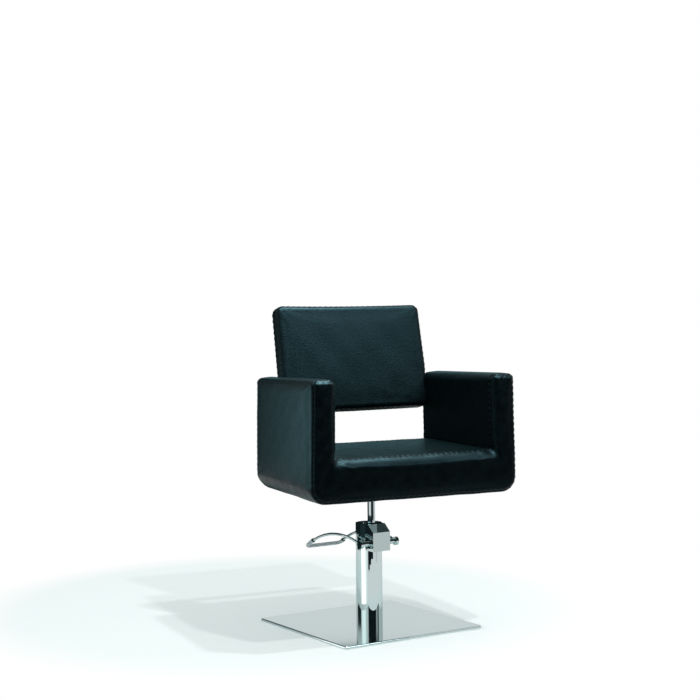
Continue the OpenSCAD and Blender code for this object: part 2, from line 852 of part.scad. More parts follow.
module shell_upholstery() {
    color(leather_c) difference() {
        shell_form();
        board_blank(foam_gap);
        side_blank(-1, foam_gap);
        side_blank(1, foam_gap);
        translate([lip - board_half, board_front - shell_front + lip, seat_z - cut])
            cube([2 * (board_half - lip),
                shell_d - board_front - board_rear - lip - lip_rear, board_z + 2 * cut]);
        translate([0, 0, seat_z]) cylinder(r = socket_r + foam_gap, h = socket_top + foam_gap);
        stud_axes() {
            translate([0, 0, -(side_board_x - side_board_t / 2)])
                cylinder(r = spacer_r + foam_gap, h = 2 * side_board_x - side_board_t);
        }
    }
}

// Outline of the back pad at an inset, drawn in along its sides
function pad_corner(cx, cz, r, b) =
    [for (i = [0:pad_corner_steps]) let (a = b + 90 * i / pad_corner_steps)
        [cx + r * cos(a), cz + r * sin(a)]];
function pad_outline(e) =
    let (a = back_w / 2 - e, b = back_h / 2 - e, r = max(pad_corner_r - e, pad_corner_r / 4),
        w = 2 * (a - r), h = 2 * (b - r))
    concat(
        pad_corner(a - r, b - r, r, 0),
        [for (q = pad_side_shares) [(a - r) - w * q, b]],
        pad_corner(r - a, b - r, r, 90),
        [for (q = pad_side_shares) [-a, (b - r) - h * q]],
        pad_corner(r - a, r - b, r, 180),
        [for (q = pad_side_shares) [(r - a) + w * q, -b]],
        pad_corner(a - r, r - b, r, 270),
        [for (q = pad_side_shares) [a, (r - b) + h * q]]
    );
function draw_in(p) =
    let (sx = 2 * p[0] / back_w, sz = 2 * p[1] / back_h)
    [p[0] - pad_draw * sx * (1 - sz * sz), p[1] - pad_draw * sz * (1 - sx * sx)];
function corner_share(p) = 4 * abs(p[0] * p[1]) / back_w / back_h;
function pad_ring(y, e, s) =
    [for (p = pad_outline(e))
        let (q = draw_in(p), k = s * (1 - pad_round_share * (1 - s) * corner_share(p)))
        [k * q[0], y, k * q[1] + back_h / 2]];

pad_rings = concat(
    [for (s = pad_face_shares) pad_ring(-back_crown * (1 - s * s), pad_edge_r, s)],
    [for (a = [0:30:90]) pad_ring(pad_edge_r * (1 - sin(a)), pad_edge_r * (1 - cos(a)), 1)],
    [pad_ring(back_t / 2, pad_waist, 1)],
    [for (a = [90:-30:0]) pad_ring(back_t - pad_edge_r * (1 - sin(a)), pad_edge_r * (1 - cos(a)), 1)],
    [for (i = [2:-1:0]) let (s = pad_face_shares[i])
        pad_ring(back_t + pad_rear_crown * (1 - s * s), pad_edge_r, s)]
);

module pad_form() {
    skin(pad_rings, [0, -back_crown, back_h / 2], [0, back_t + pad_rear_crown, back_h / 2]);
}

module back_upholstery() {
    g = foam_gap;
    color(leather_c) back_frame() difference() {
        pad_form();
        translate([-back_board_w / 2 - g, back_board_in - g, back_board_up - g])
            cube([back_board_w + 2 * g, back_board_t + 2 * g, back_board_h + 2 * g]);
        for (up = stud_up) translate([0, stud_y, up]) rotate([0, 90, 0])
            cylinder(r = spacer_r + g, h = shell_w, center = true);
    }
}

stud_y = back_board_in + back_board_t / 2;

// Axes of the studs that tie the back's board to the arms' boards
module stud_axes() {
    back_frame() for (up = stud_up)
        translate([0, stud_y, up]) rotate([0, 90, 0]) children();
}

module back_board() {
    color(ply_c) difference() {
        back_frame() translate([-back_board_w / 2, back_board_in, back_board_up])
            cube([back_board_w, back_board_t, back_board_h]);
        stud_axes() for (s = [0, 1]) mirror([0, 0, s])
            translate([0, 0, back_board_w / 2 - stud_in - seat_gap])
                cylinder(r = stud_r + run_gap, h = stud_in + cut);
    }
}

module back_studs() {
    reach = side_board_x + side_board_t / 2 - back_board_w / 2 + stud_in;
    color(steel_c) stud_axes() for (s = [0, 1]) mirror([0, 0, s])
        translate([0, 0, back_board_w / 2 - stud_in]) cylinder(r = stud_r, h = reach);
}

module back_spacers() {
    from = back_board_w / 2 + seat_gap;
    to = side_board_x - side_board_t / 2 - seat_gap;
    color(chrome_c) stud_axes() for (s = [0, 1]) mirror([0, 0, s])
        translate([0, 0, from]) ring(spacer_r, stud_r + run_gap, to - from);
}

floor_mat();
base_plate();
base_cover();
foot_bolts();
pump_foot();
column_tube();
pump_cylinder();
pump_head();
linkage_housing();
filler_plug();
rod_bush();
rod_wiper();
shaft_bushes();
return_spring();
piston();
piston_seal();
piston_rod();
rod_retainer();
pedal_shaft();
pedal_hubs();
hub_screws();
pedal_cam();
pedal_loop();
pedal_grip();
grip_collars();
pump_plunger();
seat_socket();
socket_bolts();
bottom_board();
side_board_left();
side_board_right();
frame_screws();
shell_upholstery();
back_upholstery();
back_board();
back_studs();
back_spacers();
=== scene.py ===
# Hairdressing chair: soft black shell and back pad on a chrome foot-pumped column.
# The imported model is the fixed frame; the leatherwork, its stitches and all finishes are made here.
import math
import bpy
import bmesh
import numpy as np
from mathutils import Matrix, Vector
from mathutils.bvhtree import BVHTree
from mathutils.kdtree import KDTree


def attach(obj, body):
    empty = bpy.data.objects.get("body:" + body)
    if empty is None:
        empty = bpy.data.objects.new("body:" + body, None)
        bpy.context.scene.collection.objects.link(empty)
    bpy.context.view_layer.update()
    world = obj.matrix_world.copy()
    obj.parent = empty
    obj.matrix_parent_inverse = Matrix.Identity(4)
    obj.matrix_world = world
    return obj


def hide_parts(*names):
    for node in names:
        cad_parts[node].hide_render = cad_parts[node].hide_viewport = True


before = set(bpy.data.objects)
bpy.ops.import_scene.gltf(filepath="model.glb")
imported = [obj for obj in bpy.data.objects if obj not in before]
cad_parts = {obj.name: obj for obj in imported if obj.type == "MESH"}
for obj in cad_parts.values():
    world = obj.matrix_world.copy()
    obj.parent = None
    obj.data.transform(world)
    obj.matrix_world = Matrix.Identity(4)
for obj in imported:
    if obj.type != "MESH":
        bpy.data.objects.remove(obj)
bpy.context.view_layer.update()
mm = 0.001
print("frame loaded:", len(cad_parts), "CAD nodes")


def toLinear(hexColour):  # sRGB hex to linear red, green, blue and alpha
    s = [int(hexColour[i:i + 2], 16) / 255 for i in (1, 3, 5)]
    return tuple([c / 12.92 if c <= 0.04045 else ((c + 0.055) / 1.055) ** 2.4 for c in s] + [1.0])


def addNode(tree, kind, settings=None, inputs=None):  # one node, its settings, and its values or links
    node = tree.nodes.new(kind)
    for key, value in (settings or {}).items():
        setattr(node, key, value)
    for key, value in (inputs or {}).items():
        if isinstance(value, tuple) and isinstance(value[0], bpy.types.Node):
            tree.links.new(value[0].outputs[value[1]], node.inputs[key])
        else:
            node.inputs[key].default_value = value
    return node


def newMaterial(name):  # a material with an empty node tree
    mat = bpy.data.materials.new(name)
    mat.use_nodes = True
    mat.node_tree.nodes.clear()
    return mat, mat.node_tree


def surfaced(mat, shader):  # the material, with this shader on its output
    addNode(mat.node_tree, "ShaderNodeOutputMaterial", None, {"Surface": (shader, 0)})
    return mat


def rampStops(ramp, stops):  # positions and colours of a colour ramp
    while len(ramp.color_ramp.elements) < len(stops):
        ramp.color_ramp.elements.new(0.5)
    for element, (place, hexColour) in zip(ramp.color_ramp.elements, stops):
        element.position = place
        element.color = toLinear(hexColour)


def perMetre(sizeMm):  # a noise texture's scale, from the size of one of its cells
    return 1 / (sizeMm * mm)


def newPiece(name, points, faces, mat, unit=mm, smooth=True):  # a mesh object at the origin
    mesh = bpy.data.meshes.new(name)
    mesh.from_pydata((np.asarray(points) * unit).tolist(), [], faces)
    mesh.materials.append(mat)
    mesh.polygons.foreach_set("use_smooth", [smooth] * len(mesh.polygons))
    obj = bpy.data.objects.new(name, mesh)
    bpy.context.scene.collection.objects.link(obj)
    return obj


# the camera, at the photograph's place
cameraView = {
    "focalPx": 1501.04, "centrePx": (370.77, 452.89), "imagePx": 700, "sensorMm": 36.0,
    "yaw": 0.4362, "pitch": 0.0996, "roll": -0.0090, "distance": 4.285, "aim": (0.0, 0.0, 0.5),
}


def placeCamera(v):
    # looks at the aim along yaw and pitch, rolled a little; the shift is the photograph's crop
    cp, sp = math.cos(v["pitch"]), math.sin(v["pitch"])
    ahead = Vector((math.sin(v["yaw"]) * cp, math.cos(v["yaw"]) * cp, -sp))
    side = Vector((math.cos(v["yaw"]), -math.sin(v["yaw"]), 0))
    over = side.cross(ahead)
    cr, sr = math.cos(v["roll"]), math.sin(v["roll"])
    right, up = cr * side + sr * over, cr * over - sr * side
    cam = bpy.data.cameras.new("photoCamera")
    cam.sensor_width = v["sensorMm"]
    cam.lens = v["focalPx"] / v["imagePx"] * v["sensorMm"]
    cam.shift_x = (v["imagePx"] / 2 - v["centrePx"][0]) / v["imagePx"]
    cam.shift_y = (v["centrePx"][1] - v["imagePx"] / 2) / v["imagePx"]
    cam.clip_end = 60
    obj = bpy.data.objects.new("photoCamera", cam)
    turn = Matrix((right, up, -ahead)).transposed().to_4x4()
    obj.matrix_world = Matrix.Translation(Vector(v["aim"]) - v["distance"] * ahead) @ turn
    bpy.context.scene.collection.objects.link(obj)
    bpy.context.scene.camera = obj


placeCamera(cameraView)
bpy.context.scene.view_settings.view_transform = "Standard"
print("camera placed")

# the white studio: floor, cards, lamps and world, in metres
studio = {
    "floorRings": (0.0001, 0.5, 1.2, 2.2, 3.2), "floorSteps": 96, "floorColour": "#E6E8E8",
    "glow": 0.31, "glowTint": "#EDFFFD", "fadeFrom": 0.73, "fadeTo": 0.98, "fadeCentre": (-0.15, 0.42, 0.0),
    "ambient": 0.62, "ambientTint": "#F4FAFA", "lampAim": (0.0, 0.0, 0.3), "cardSteps": 24,
}
lamps = {  # place, size in metres, watts: two soft lamps above the front
    "frontLamp": ((0.20, -1.58, 2.75), 0.10, 18.0),
    "sideLamp": ((0.60, -0.95, 3.40), 0.12, 23.5),
}
# what glossy faces reflect: each card's turn from the front and width in degrees, distance, lower and upper
# height, level and tint; a dark card takes gloss away and a bright one gives it
flags = {
    "darkRoom": (14, 96, 2.1, 0.0, 1.35, 0.018, "#B8F0FF"),
    "leftWall": (-74, 80, 1.5, 0.0, 0.11, 0.04, "#B8F0FF"),
    "standNear": (-26, 14, 0.95, 0.0, 1.6, 0.018, "#B8F0FF"),
    "standMid": (-20, 26, 1.06, 0.0, 1.6, 0.018, "#B8F0FF"),
    "standFar": (-11, 44, 1.17, 0.0, 1.6, 0.018, "#B8F0FF"),
    "greyFloor": (42, 14, 1.1, 0.0, 0.30, 0.78, "#FFFFFF"),
    "stripLight": (-75, 34, 0.35, 0.002, 0.185, 2.1, "#FFFFFF"),
    "stripEdge": (-71, 56, 0.36, 0.002, 0.185, 1.25, "#FFFFFF"),
    "blackFlag": (-125, 44, 1.2, 0.03, 0.28, 0.02, "#B8F0FF"),
    "rearLow": (150, 72, 1.05, 0.32, 0.66, 0.12, "#A8E8F4"),
    "rearMid": (150, 72, 1.05, 0.66, 0.88, 0.50, "#A8E8F4"),
    "rearHigh": (150, 72, 1.05, 0.88, 1.6, 0.50, "#A8E8F4"),
    "leftRear": (-147, 20, 1.05, 0.32, 0.80, 0.15, "#A8E8F4"),
    "leftRearHigh": (-147, 20, 1.05, 0.80, 1.4, 0.03, "#A8E8F4"),
    "rearDark": (-172, 30, 1.05, 0.30, 1.4, 0.015, "#A8E8F4"),
    "sideGlow": (-104, 44, 0.66, 0.38, 0.76, 2.3, "#B0EAF4"),
    "underPad": (178, 80, 0.45, 0.20, 0.56, 0.02, "#A8E8F4"),
    "overhead": (8, 150, 0.75, 2.2, 6.5, 56.0, "#D4F4FA"),
    "highLight": (8, 130, 1.2, 2.6, 4.5, 9.0, "#D4F4FA"),
    "topEdge": (8, 90, 2.1, 1.35, 1.7, 0.9, "#DFF3F8"),
    "topLight": (8, 90, 2.1, 1.7, 2.7, 10.8, "#DFF3F8"),
}


def makePaper(s):
    # matt white studio paper: even, no gloss; only camera and mirror rays see its glow and fade to white
    mat, tree = newMaterial("matt white studio paper")
    coords = addNode(tree, "ShaderNodeTexCoord")
    rays = addNode(tree, "ShaderNodeLightPath")
    paper = addNode(tree, "ShaderNodeBsdfDiffuse", None, {"Color": toLinear(s["floorColour"])})
    shown = addNode(tree, "ShaderNodeMath", {"operation": "MAXIMUM"},
                    {0: (rays, "Is Camera Ray"), 1: (rays, "Is Glossy Ray")})
    glow = addNode(tree, "ShaderNodeMath", {"operation": "MULTIPLY"}, {0: (shown, 0), 1: s["glow"]})
    lit = addNode(tree, "ShaderNodeEmission", None,
                  {"Color": toLinear(s["glowTint"]), "Strength": (glow, 0)})
    both = addNode(tree, "ShaderNodeAddShader", None, {0: (paper, 0), 1: (lit, 0)})
    apart = addNode(tree, "ShaderNodeVectorMath", {"operation": "DISTANCE"},
                    {0: (coords, "Object"), 1: s["fadeCentre"]})
    fade = addNode(tree, "ShaderNodeMapRange", {"interpolation_type": "SMOOTHSTEP"},
                   {"Value": (apart, "Value"), "From Min": s["fadeFrom"], "From Max": s["fadeTo"]})
    seen = addNode(tree, "ShaderNodeMath", {"operation": "MULTIPLY"}, {0: (fade, 0), 1: (shown, 0)})
    white = addNode(tree, "ShaderNodeEmission", None, {"Strength": 1.0})
    mix = addNode(tree, "ShaderNodeMixShader", None, {0: (seen, 0), 1: (both, 0), 2: (white, 0)})
    return surfaced(mat, mix)


def makeFloor(s):  # a disc from rings of radius times the cosine and sine of the turn
    steps, radii = s["floorSteps"], np.array(s["floorRings"])
    turn = np.linspace(0, 2 * np.pi, steps + 1)[:-1]
    ring = np.stack([np.cos(turn), np.sin(turn), 0 * turn], 1)
    points = (radii[:, None, None] * ring[None]).reshape(-1, 3)
    i, j = np.meshgrid(np.arange(len(radii) - 1), np.arange(steps), indexing="ij")
    a, b = i * steps + j, i * steps + (j + 1) % steps
    faces = np.stack([a, a + steps, b + steps, b], -1).reshape(-1, 4).tolist()
    newPiece("studioFloor", points, faces, makePaper(s), unit=1, smooth=False)


def makeLight(s, lampRows):  # disc lamps over the chair, and a world that camera and mirrors see as white
    for name, (place, size, watts) in lampRows.items():
        lamp = bpy.data.lights.new(name, "AREA")
        lamp.shape, lamp.size, lamp.energy = "DISK", size, watts
        obj = bpy.data.objects.new(name, lamp)
        obj.location = place
        ahead = Vector(s["lampAim"]) - Vector(place)
        obj.rotation_euler = ahead.to_track_quat("-Z", "Y").to_euler()
        bpy.context.scene.collection.objects.link(obj)
    world = bpy.data.worlds.new("paleStudio")
    bpy.context.scene.world = world
    world.use_nodes = True
    tree = world.node_tree
    tree.nodes.clear()
    rays = addNode(tree, "ShaderNodeLightPath")
    mirrorRay = addNode(tree, "ShaderNodeMath", {"operation": "MAXIMUM"},
                        {0: (rays, "Is Glossy Ray"), 1: (rays, "Is Transmission Ray")})
    shown = addNode(tree, "ShaderNodeMath", {"operation": "MAXIMUM"},
                    {0: (rays, "Is Camera Ray"), 1: (mirrorRay, 0)})
    soft = addNode(tree, "ShaderNodeBackground", None,
                   {"Color": toLinear(s["ambientTint"]), "Strength": s["ambient"]})
    white = addNode(tree, "ShaderNodeBackground", None, {"Color": (1, 1, 1, 1), "Strength": 1.0})
    mix = addNode(tree, "ShaderNodeMixShader", None, {0: (shown, 0), 1: (soft, 0), 2: (white, 0)})
    addNode(tree, "ShaderNodeOutputWorld", None, {"Surface": (mix, 0)})


def makeFlags(rows, steps):  # upright arcs round the chair, seen only in reflections
    for name, (turn, width, away, low, high, level, tint) in rows.items():
        a = np.radians(turn + np.linspace(-0.5, 0.5, steps + 1) * width)
        edge = np.stack([np.sin(a) * away, -np.cos(a) * away], 1)
        points = np.concatenate([np.column_stack([edge, 0 * a + z]) for z in (low, high)])
        k = np.arange(steps)
        faces = np.stack([k, k + 1, k + steps + 2, k + steps + 1], 1).tolist()
        mat, tree = newMaterial(name + " card")  # a card that glows at an even level, standing in for a lit or unlit studio card: a painted reflection
        card = addNode(tree, "ShaderNodeEmission", None, {"Color": toLinear(tint), "Strength": level})
        obj = newPiece(name, points, faces, surfaced(mat, card), unit=1, smooth=False)
        obj.visible_camera = obj.visible_diffuse = obj.visible_shadow = obj.visible_transmission = False


makeFloor(studio)
makeFlags(flags, studio["cardSteps"])
makeLight(studio, lamps)
print("studio made")

# the finishes: colours, roughness, and the sizes of their grain and marks in millimetres
finishes = {
    "leather": {"dark": "#010203", "light": "#030506", "cloudMm": 29.41, "roughness": 0.38,
                "smoother": 0.05, "rougher": 0.06, "seamSmooth": 0.07, "grainMm": 3.2, "wanderMm": 3.846,
                "pullMm": 1.2, "poreMm": 0.6667, "poreShare": 0.25, "creaseMm": 5.263, "creaseShare": 4.0,
                "grainDepthMm": 0.26, "gloss": 0.12, "glossTint": "#9FE0F0", "sheen": 0.06,
                "sheenTint": "#7FE4EE"},
    "thread": {"colour": "#04090B", "roughness": 0.7, "gloss": 0.06, "glossTint": "#8FDCEC",
               "twistMm": 0.8976, "reliefMm": 0.2},
    "chrome": {"colour": "#C0CECE", "edge": "#E4E8E8", "roughness": 0.03, "smoother": 0.015,
               "rougher": 0.02, "hazeMm": 16.67, "waveMm": 26.32, "reliefMm": 0.6},
    "plate": {"colour": "#CCD7D7", "edge": "#E2E7E7", "roughness": 0.07, "smoother": 0.03, "rougher": 0.04,
              "turn": -8.7, "streakMm": (166.7, 0.9, 25.0), "reliefMm": 0.2},
    "steel": {"colour": "#9FA6A8", "roughness": 0.32, "smoother": 0.05, "rougher": 0.06, "markMm": 0.748},
    "sleeve": {"colour": "#C0CACC", "roughness": 0.20, "smoother": 0.05, "rougher": 0.12, "scuffMm": 4.545,
               "reliefMm": 0.2},
    "rubber": {"dark": "#161718", "light": "#222425", "roughness": 0.72, "bloomMm": 11.11, "reliefMm": 0.3},
    "plywood": {"stops": [(0.30, "#A98458"), (0.52, "#C7A678"), (0.74, "#D8BC92")], "roughness": 0.58,
                "grainMm": (333.3, 11.11, 11.11), "waviness": 0.4, "reliefMm": 0.4},
    "dustCloth": {"dark": "#454D50", "light": "#5C6568", "roughness": 0.85, "gloss": 0.2, "fibreMm": 1.429,
                  "reliefMm": 0.3, "hemColour": "#0A0C0D", "hemFromY": 85.0, "hemBelowZ": 455.0,
                  "grainMm": (333.3, 11.11, 11.11), "stops": [(0.30, "#A98458"), (0.74, "#D8BC92")]},
    "bronze": {"colour": "#B58A4E", "smoothest": 0.24, "roughest": 0.38, "markMm": 2.0},
}


def makeLeatherette(f):
    # PVC-coated cloth embossed with a fine pebble: near black, a soft teal sheen at flat angles, slightly
    # smoother where seams pull it tight; the real pebble is under 1 mm, drawn at 3.2 mm so that it shows
    mat, tree = newMaterial("black embossed leatherette")
    coords = addNode(tree, "ShaderNodeTexCoord")
    wander = addNode(tree, "ShaderNodeTexNoise", None,
                     {"Vector": (coords, "Object"), "Scale": perMetre(f["wanderMm"]), "Detail": 2.0})
    drift = addNode(tree, "ShaderNodeMix", {"data_type": "VECTOR"},
                    {0: f["pullMm"] * mm, 4: (coords, "Object"), 5: (wander, "Color")})
    pebble = addNode(tree, "ShaderNodeTexVoronoi", {"feature": "SMOOTH_F1"},
                     {"Vector": (drift, 1), "Scale": perMetre(f["grainMm"]), "Smoothness": 0.35})
    cloudy = addNode(tree, "ShaderNodeTexNoise", None,
                     {"Vector": (coords, "Object"), "Scale": perMetre(f["cloudMm"]), "Detail": 4.0,
                      "Roughness": 0.6})
    tone = addNode(tree, "ShaderNodeValToRGB", None, {"Fac": (cloudy, "Fac")})
    rampStops(tone, [(0.32, f["dark"]), (0.70, f["light"])])
    seam = addNode(tree, "ShaderNodeAttribute", {"attribute_name": "seamNear"})
    rough = addNode(tree, "ShaderNodeMapRange", None,
                    {"Value": (cloudy, "Fac"), "From Min": 0.3, "From Max": 0.7,
                     "To Min": f["roughness"] - f["smoother"], "To Max": f["roughness"] + f["rougher"]})
    tight = addNode(tree, "ShaderNodeMath", {"operation": "MULTIPLY"},
                    {0: (seam, "Fac"), 1: f["seamSmooth"]})
    roughOut = addNode(tree, "ShaderNodeMath", {"operation": "SUBTRACT"}, {0: (rough, 0), 1: (tight, 0)})
    pore = addNode(tree, "ShaderNodeTexNoise", None,
                   {"Vector": (coords, "Object"), "Scale": perMetre(f["poreMm"]), "Detail": 2.0})
    height = addNode(tree, "ShaderNodeMath", {"operation": "MULTIPLY_ADD"},
                     {0: (pore, "Fac"), 1: f["poreShare"], 2: (pebble, "Distance")})
    crease = addNode(tree, "ShaderNodeTexNoise", None,
                     {"Vector": (coords, "Object"), "Scale": perMetre(f["creaseMm"]), "Detail": 3.0,
                      "Roughness": 0.65})
    relief = addNode(tree, "ShaderNodeMath", {"operation": "MULTIPLY_ADD"},
                     {0: (crease, "Fac"), 1: f["creaseShare"], 2: (height, 0)})
    bump = addNode(tree, "ShaderNodeBump", {"invert": True},
                   {"Height": (relief, 0), "Strength": 0.6, "Distance": f["grainDepthMm"] * mm})
    skin = addNode(tree, "ShaderNodeBsdfPrincipled", None,
                   {"Base Color": (tone, "Color"), "Roughness": (roughOut, 0), "Normal": (bump, 0),
                    "IOR": 1.5, "Specular IOR Level": f["gloss"], "Specular Tint": toLinear(f["glossTint"]),
                    "Sheen Weight": f["sheen"], "Sheen Roughness": 0.35,
                    "Sheen Tint": toLinear(f["sheenTint"])})
    return surfaced(mat, skin)


def makeThread(f):
    # twisted polyester sewing thread: a fibrous half sheen, from a wave that repeats every 2 pi / 10 units
    mat, tree = newMaterial("black polyester thread")
    coords = addNode(tree, "ShaderNodeTexCoord")
    twist = addNode(tree, "ShaderNodeTexWave", {"wave_type": "BANDS", "bands_direction": "DIAGONAL"},
                    {"Vector": (coords, "Object"), "Scale": 2 * math.pi / 10 * perMetre(f["twistMm"]),
                     "Distortion": 1.5})
    bump = addNode(tree, "ShaderNodeBump", None,
                   {"Height": (twist, "Fac"), "Strength": 0.5, "Distance": f["reliefMm"] * mm})
    skin = addNode(tree, "ShaderNodeBsdfPrincipled", None,
                   {"Base Color": toLinear(f["colour"]), "Roughness": f["roughness"], "Normal": (bump, 0),
                    "Specular IOR Level": f["gloss"], "Specular Tint": toLinear(f["glossTint"])})
    return surfaced(mat, skin)


def makeChrome(f):  # bright chrome plate: a clean mirror with the faintest hazing and polishing waves
    mat, tree = newMaterial("polished chrome plate")
    coords = addNode(tree, "ShaderNodeTexCoord")
    haze = addNode(tree, "ShaderNodeTexNoise", None,
                   {"Vector": (coords, "Object"), "Scale": perMetre(f["hazeMm"]), "Detail": 5.0})
    rough = addNode(tree, "ShaderNodeMapRange", None,
                    {"Value": (haze, "Fac"), "From Min": 0.3, "From Max": 0.7,
                     "To Min": f["roughness"] - f["smoother"], "To Max": f["roughness"] + f["rougher"]})
    wave = addNode(tree, "ShaderNodeTexNoise", None,
                   {"Vector": (coords, "Object"), "Scale": perMetre(f["waveMm"]), "Detail": 1.0})
    bump = addNode(tree, "ShaderNodeBump", None,
                   {"Height": (wave, "Fac"), "Strength": 0.05, "Distance": f["reliefMm"] * mm})
    skin = addNode(tree, "ShaderNodeBsdfPrincipled", None,
                   {"Base Color": toLinear(f["colour"]), "Metallic": 1.0, "Roughness": (rough, 0),
                    "Normal": (bump, 0), "Specular Tint": toLinear(f["edge"])})
    return surfaced(mat, skin)


def makePlateSteel(f):
    # stainless sheet, brushed in one direction and then polished: a mirror with faint streaks along it
    mat, tree = newMaterial("polished brushed stainless")
    coords = addNode(tree, "ShaderNodeTexCoord")
    turned = addNode(tree, "ShaderNodeMapping", None,
                     {"Vector": (coords, "Object"), "Rotation": (0, 0, math.radians(f["turn"])),
                      "Scale": tuple(perMetre(size) for size in f["streakMm"])})
    streak = addNode(tree, "ShaderNodeTexNoise", None,
                     {"Vector": (turned, 0), "Scale": 1.0, "Detail": 3.0, "Roughness": 0.6})
    rough = addNode(tree, "ShaderNodeMapRange", None,
                    {"Value": (streak, "Fac"), "From Min": 0.25, "From Max": 0.75,
                     "To Min": f["roughness"] - f["smoother"], "To Max": f["roughness"] + f["rougher"]})
    bump = addNode(tree, "ShaderNodeBump", None,
                   {"Height": (streak, "Fac"), "Strength": 0.06, "Distance": f["reliefMm"] * mm})
    skin = addNode(tree, "ShaderNodeBsdfPrincipled", None,
                   {"Base Color": toLinear(f["colour"]), "Metallic": 1.0, "Roughness": (rough, 0),
                    "Normal": (bump, 0), "Specular Tint": toLinear(f["edge"])})
    return surfaced(mat, skin)


def makeMachined(f):
    # plain turned or milled steel: satin with fine tool marks, from a wave that repeats every pi / 10 units
    mat, tree = newMaterial("machined plain steel")
    coords = addNode(tree, "ShaderNodeTexCoord")
    marks = addNode(tree, "ShaderNodeTexWave", {"wave_type": "BANDS", "bands_direction": "Z"},
                    {"Vector": (coords, "Object"), "Scale": math.pi / 10 * perMetre(f["markMm"]),
                     "Distortion": 0.6, "Detail": 2.0})
    rough = addNode(tree, "ShaderNodeMapRange", None,
                    {"Value": (marks, "Fac"), "To Min": f["roughness"] - f["smoother"],
                     "To Max": f["roughness"] + f["rougher"]})
    skin = addNode(tree, "ShaderNodeBsdfPrincipled", None,
                   {"Base Color": toLinear(f["colour"]), "Metallic": 1.0, "Roughness": (rough, 0)})
    return surfaced(mat, skin)


def makeSleeve(f):  # smooth grey vinyl hose pushed over the foot bar, with slight scuffs
    mat, tree = newMaterial("grey vinyl sleeve")
    coords = addNode(tree, "ShaderNodeTexCoord")
    scuff = addNode(tree, "ShaderNodeTexNoise", None,
                    {"Vector": (coords, "Object"), "Scale": perMetre(f["scuffMm"]), "Detail": 4.0})
    rough = addNode(tree, "ShaderNodeMapRange", None,
                    {"Value": (scuff, "Fac"), "From Min": 0.3, "From Max": 0.7,
                     "To Min": f["roughness"] - f["smoother"], "To Max": f["roughness"] + f["rougher"]})
    bump = addNode(tree, "ShaderNodeBump", None,
                   {"Height": (scuff, "Fac"), "Strength": 0.1, "Distance": f["reliefMm"] * mm})
    skin = addNode(tree, "ShaderNodeBsdfPrincipled", None,
                   {"Base Color": toLinear(f["colour"]), "Roughness": (rough, 0), "Normal": (bump, 0),
                    "IOR": 1.52})
    return surfaced(mat, skin)


def makeRubber(f):  # black moulded rubber, dull with a light bloom
    mat, tree = newMaterial("black moulded rubber")
    coords = addNode(tree, "ShaderNodeTexCoord")
    bloom = addNode(tree, "ShaderNodeTexNoise", None,
                    {"Vector": (coords, "Object"), "Scale": perMetre(f["bloomMm"]), "Detail": 4.0})
    tone = addNode(tree, "ShaderNodeValToRGB", None, {"Fac": (bloom, "Fac")})
    rampStops(tone, [(0.3, f["dark"]), (0.75, f["light"])])
    bump = addNode(tree, "ShaderNodeBump", None,
                   {"Height": (bloom, "Fac"), "Strength": 0.2, "Distance": f["reliefMm"] * mm})
    skin = addNode(tree, "ShaderNodeBsdfPrincipled", None,
                   {"Base Color": (tone, "Color"), "Roughness": f["roughness"], "Normal": (bump, 0)})
    return surfaced(mat, skin)


def birchGrain(tree, coords, f, waviness):  # pale straight grain: noise drawn out along the board
    along = addNode(tree, "ShaderNodeMapping", None,
                    {"Vector": (coords, "Object"), "Scale": tuple(perMetre(size) for size in f["grainMm"])})
    grain = addNode(tree, "ShaderNodeTexNoise", None,
                    {"Vector": (along, 0), "Scale": 1.0, "Detail": 6.0, "Roughness": 0.65,
                     "Distortion": waviness})
    wood = addNode(tree, "ShaderNodeValToRGB", None, {"Fac": (grain, "Fac")})
    rampStops(wood, f["stops"])
    return grain, wood


def makePlywood(f):  # birch plywood, sanded: dull
    mat, tree = newMaterial("birch plywood")
    grain, wood = birchGrain(tree, addNode(tree, "ShaderNodeTexCoord"), f, f["waviness"])
    bump = addNode(tree, "ShaderNodeBump", None,
                   {"Height": (grain, "Fac"), "Strength": 0.2, "Distance": f["reliefMm"] * mm})
    skin = addNode(tree, "ShaderNodeBsdfPrincipled", None,
                   {"Base Color": (wood, "Color"), "Roughness": f["roughness"], "Normal": (bump, 0)})
    return surfaced(mat, skin)


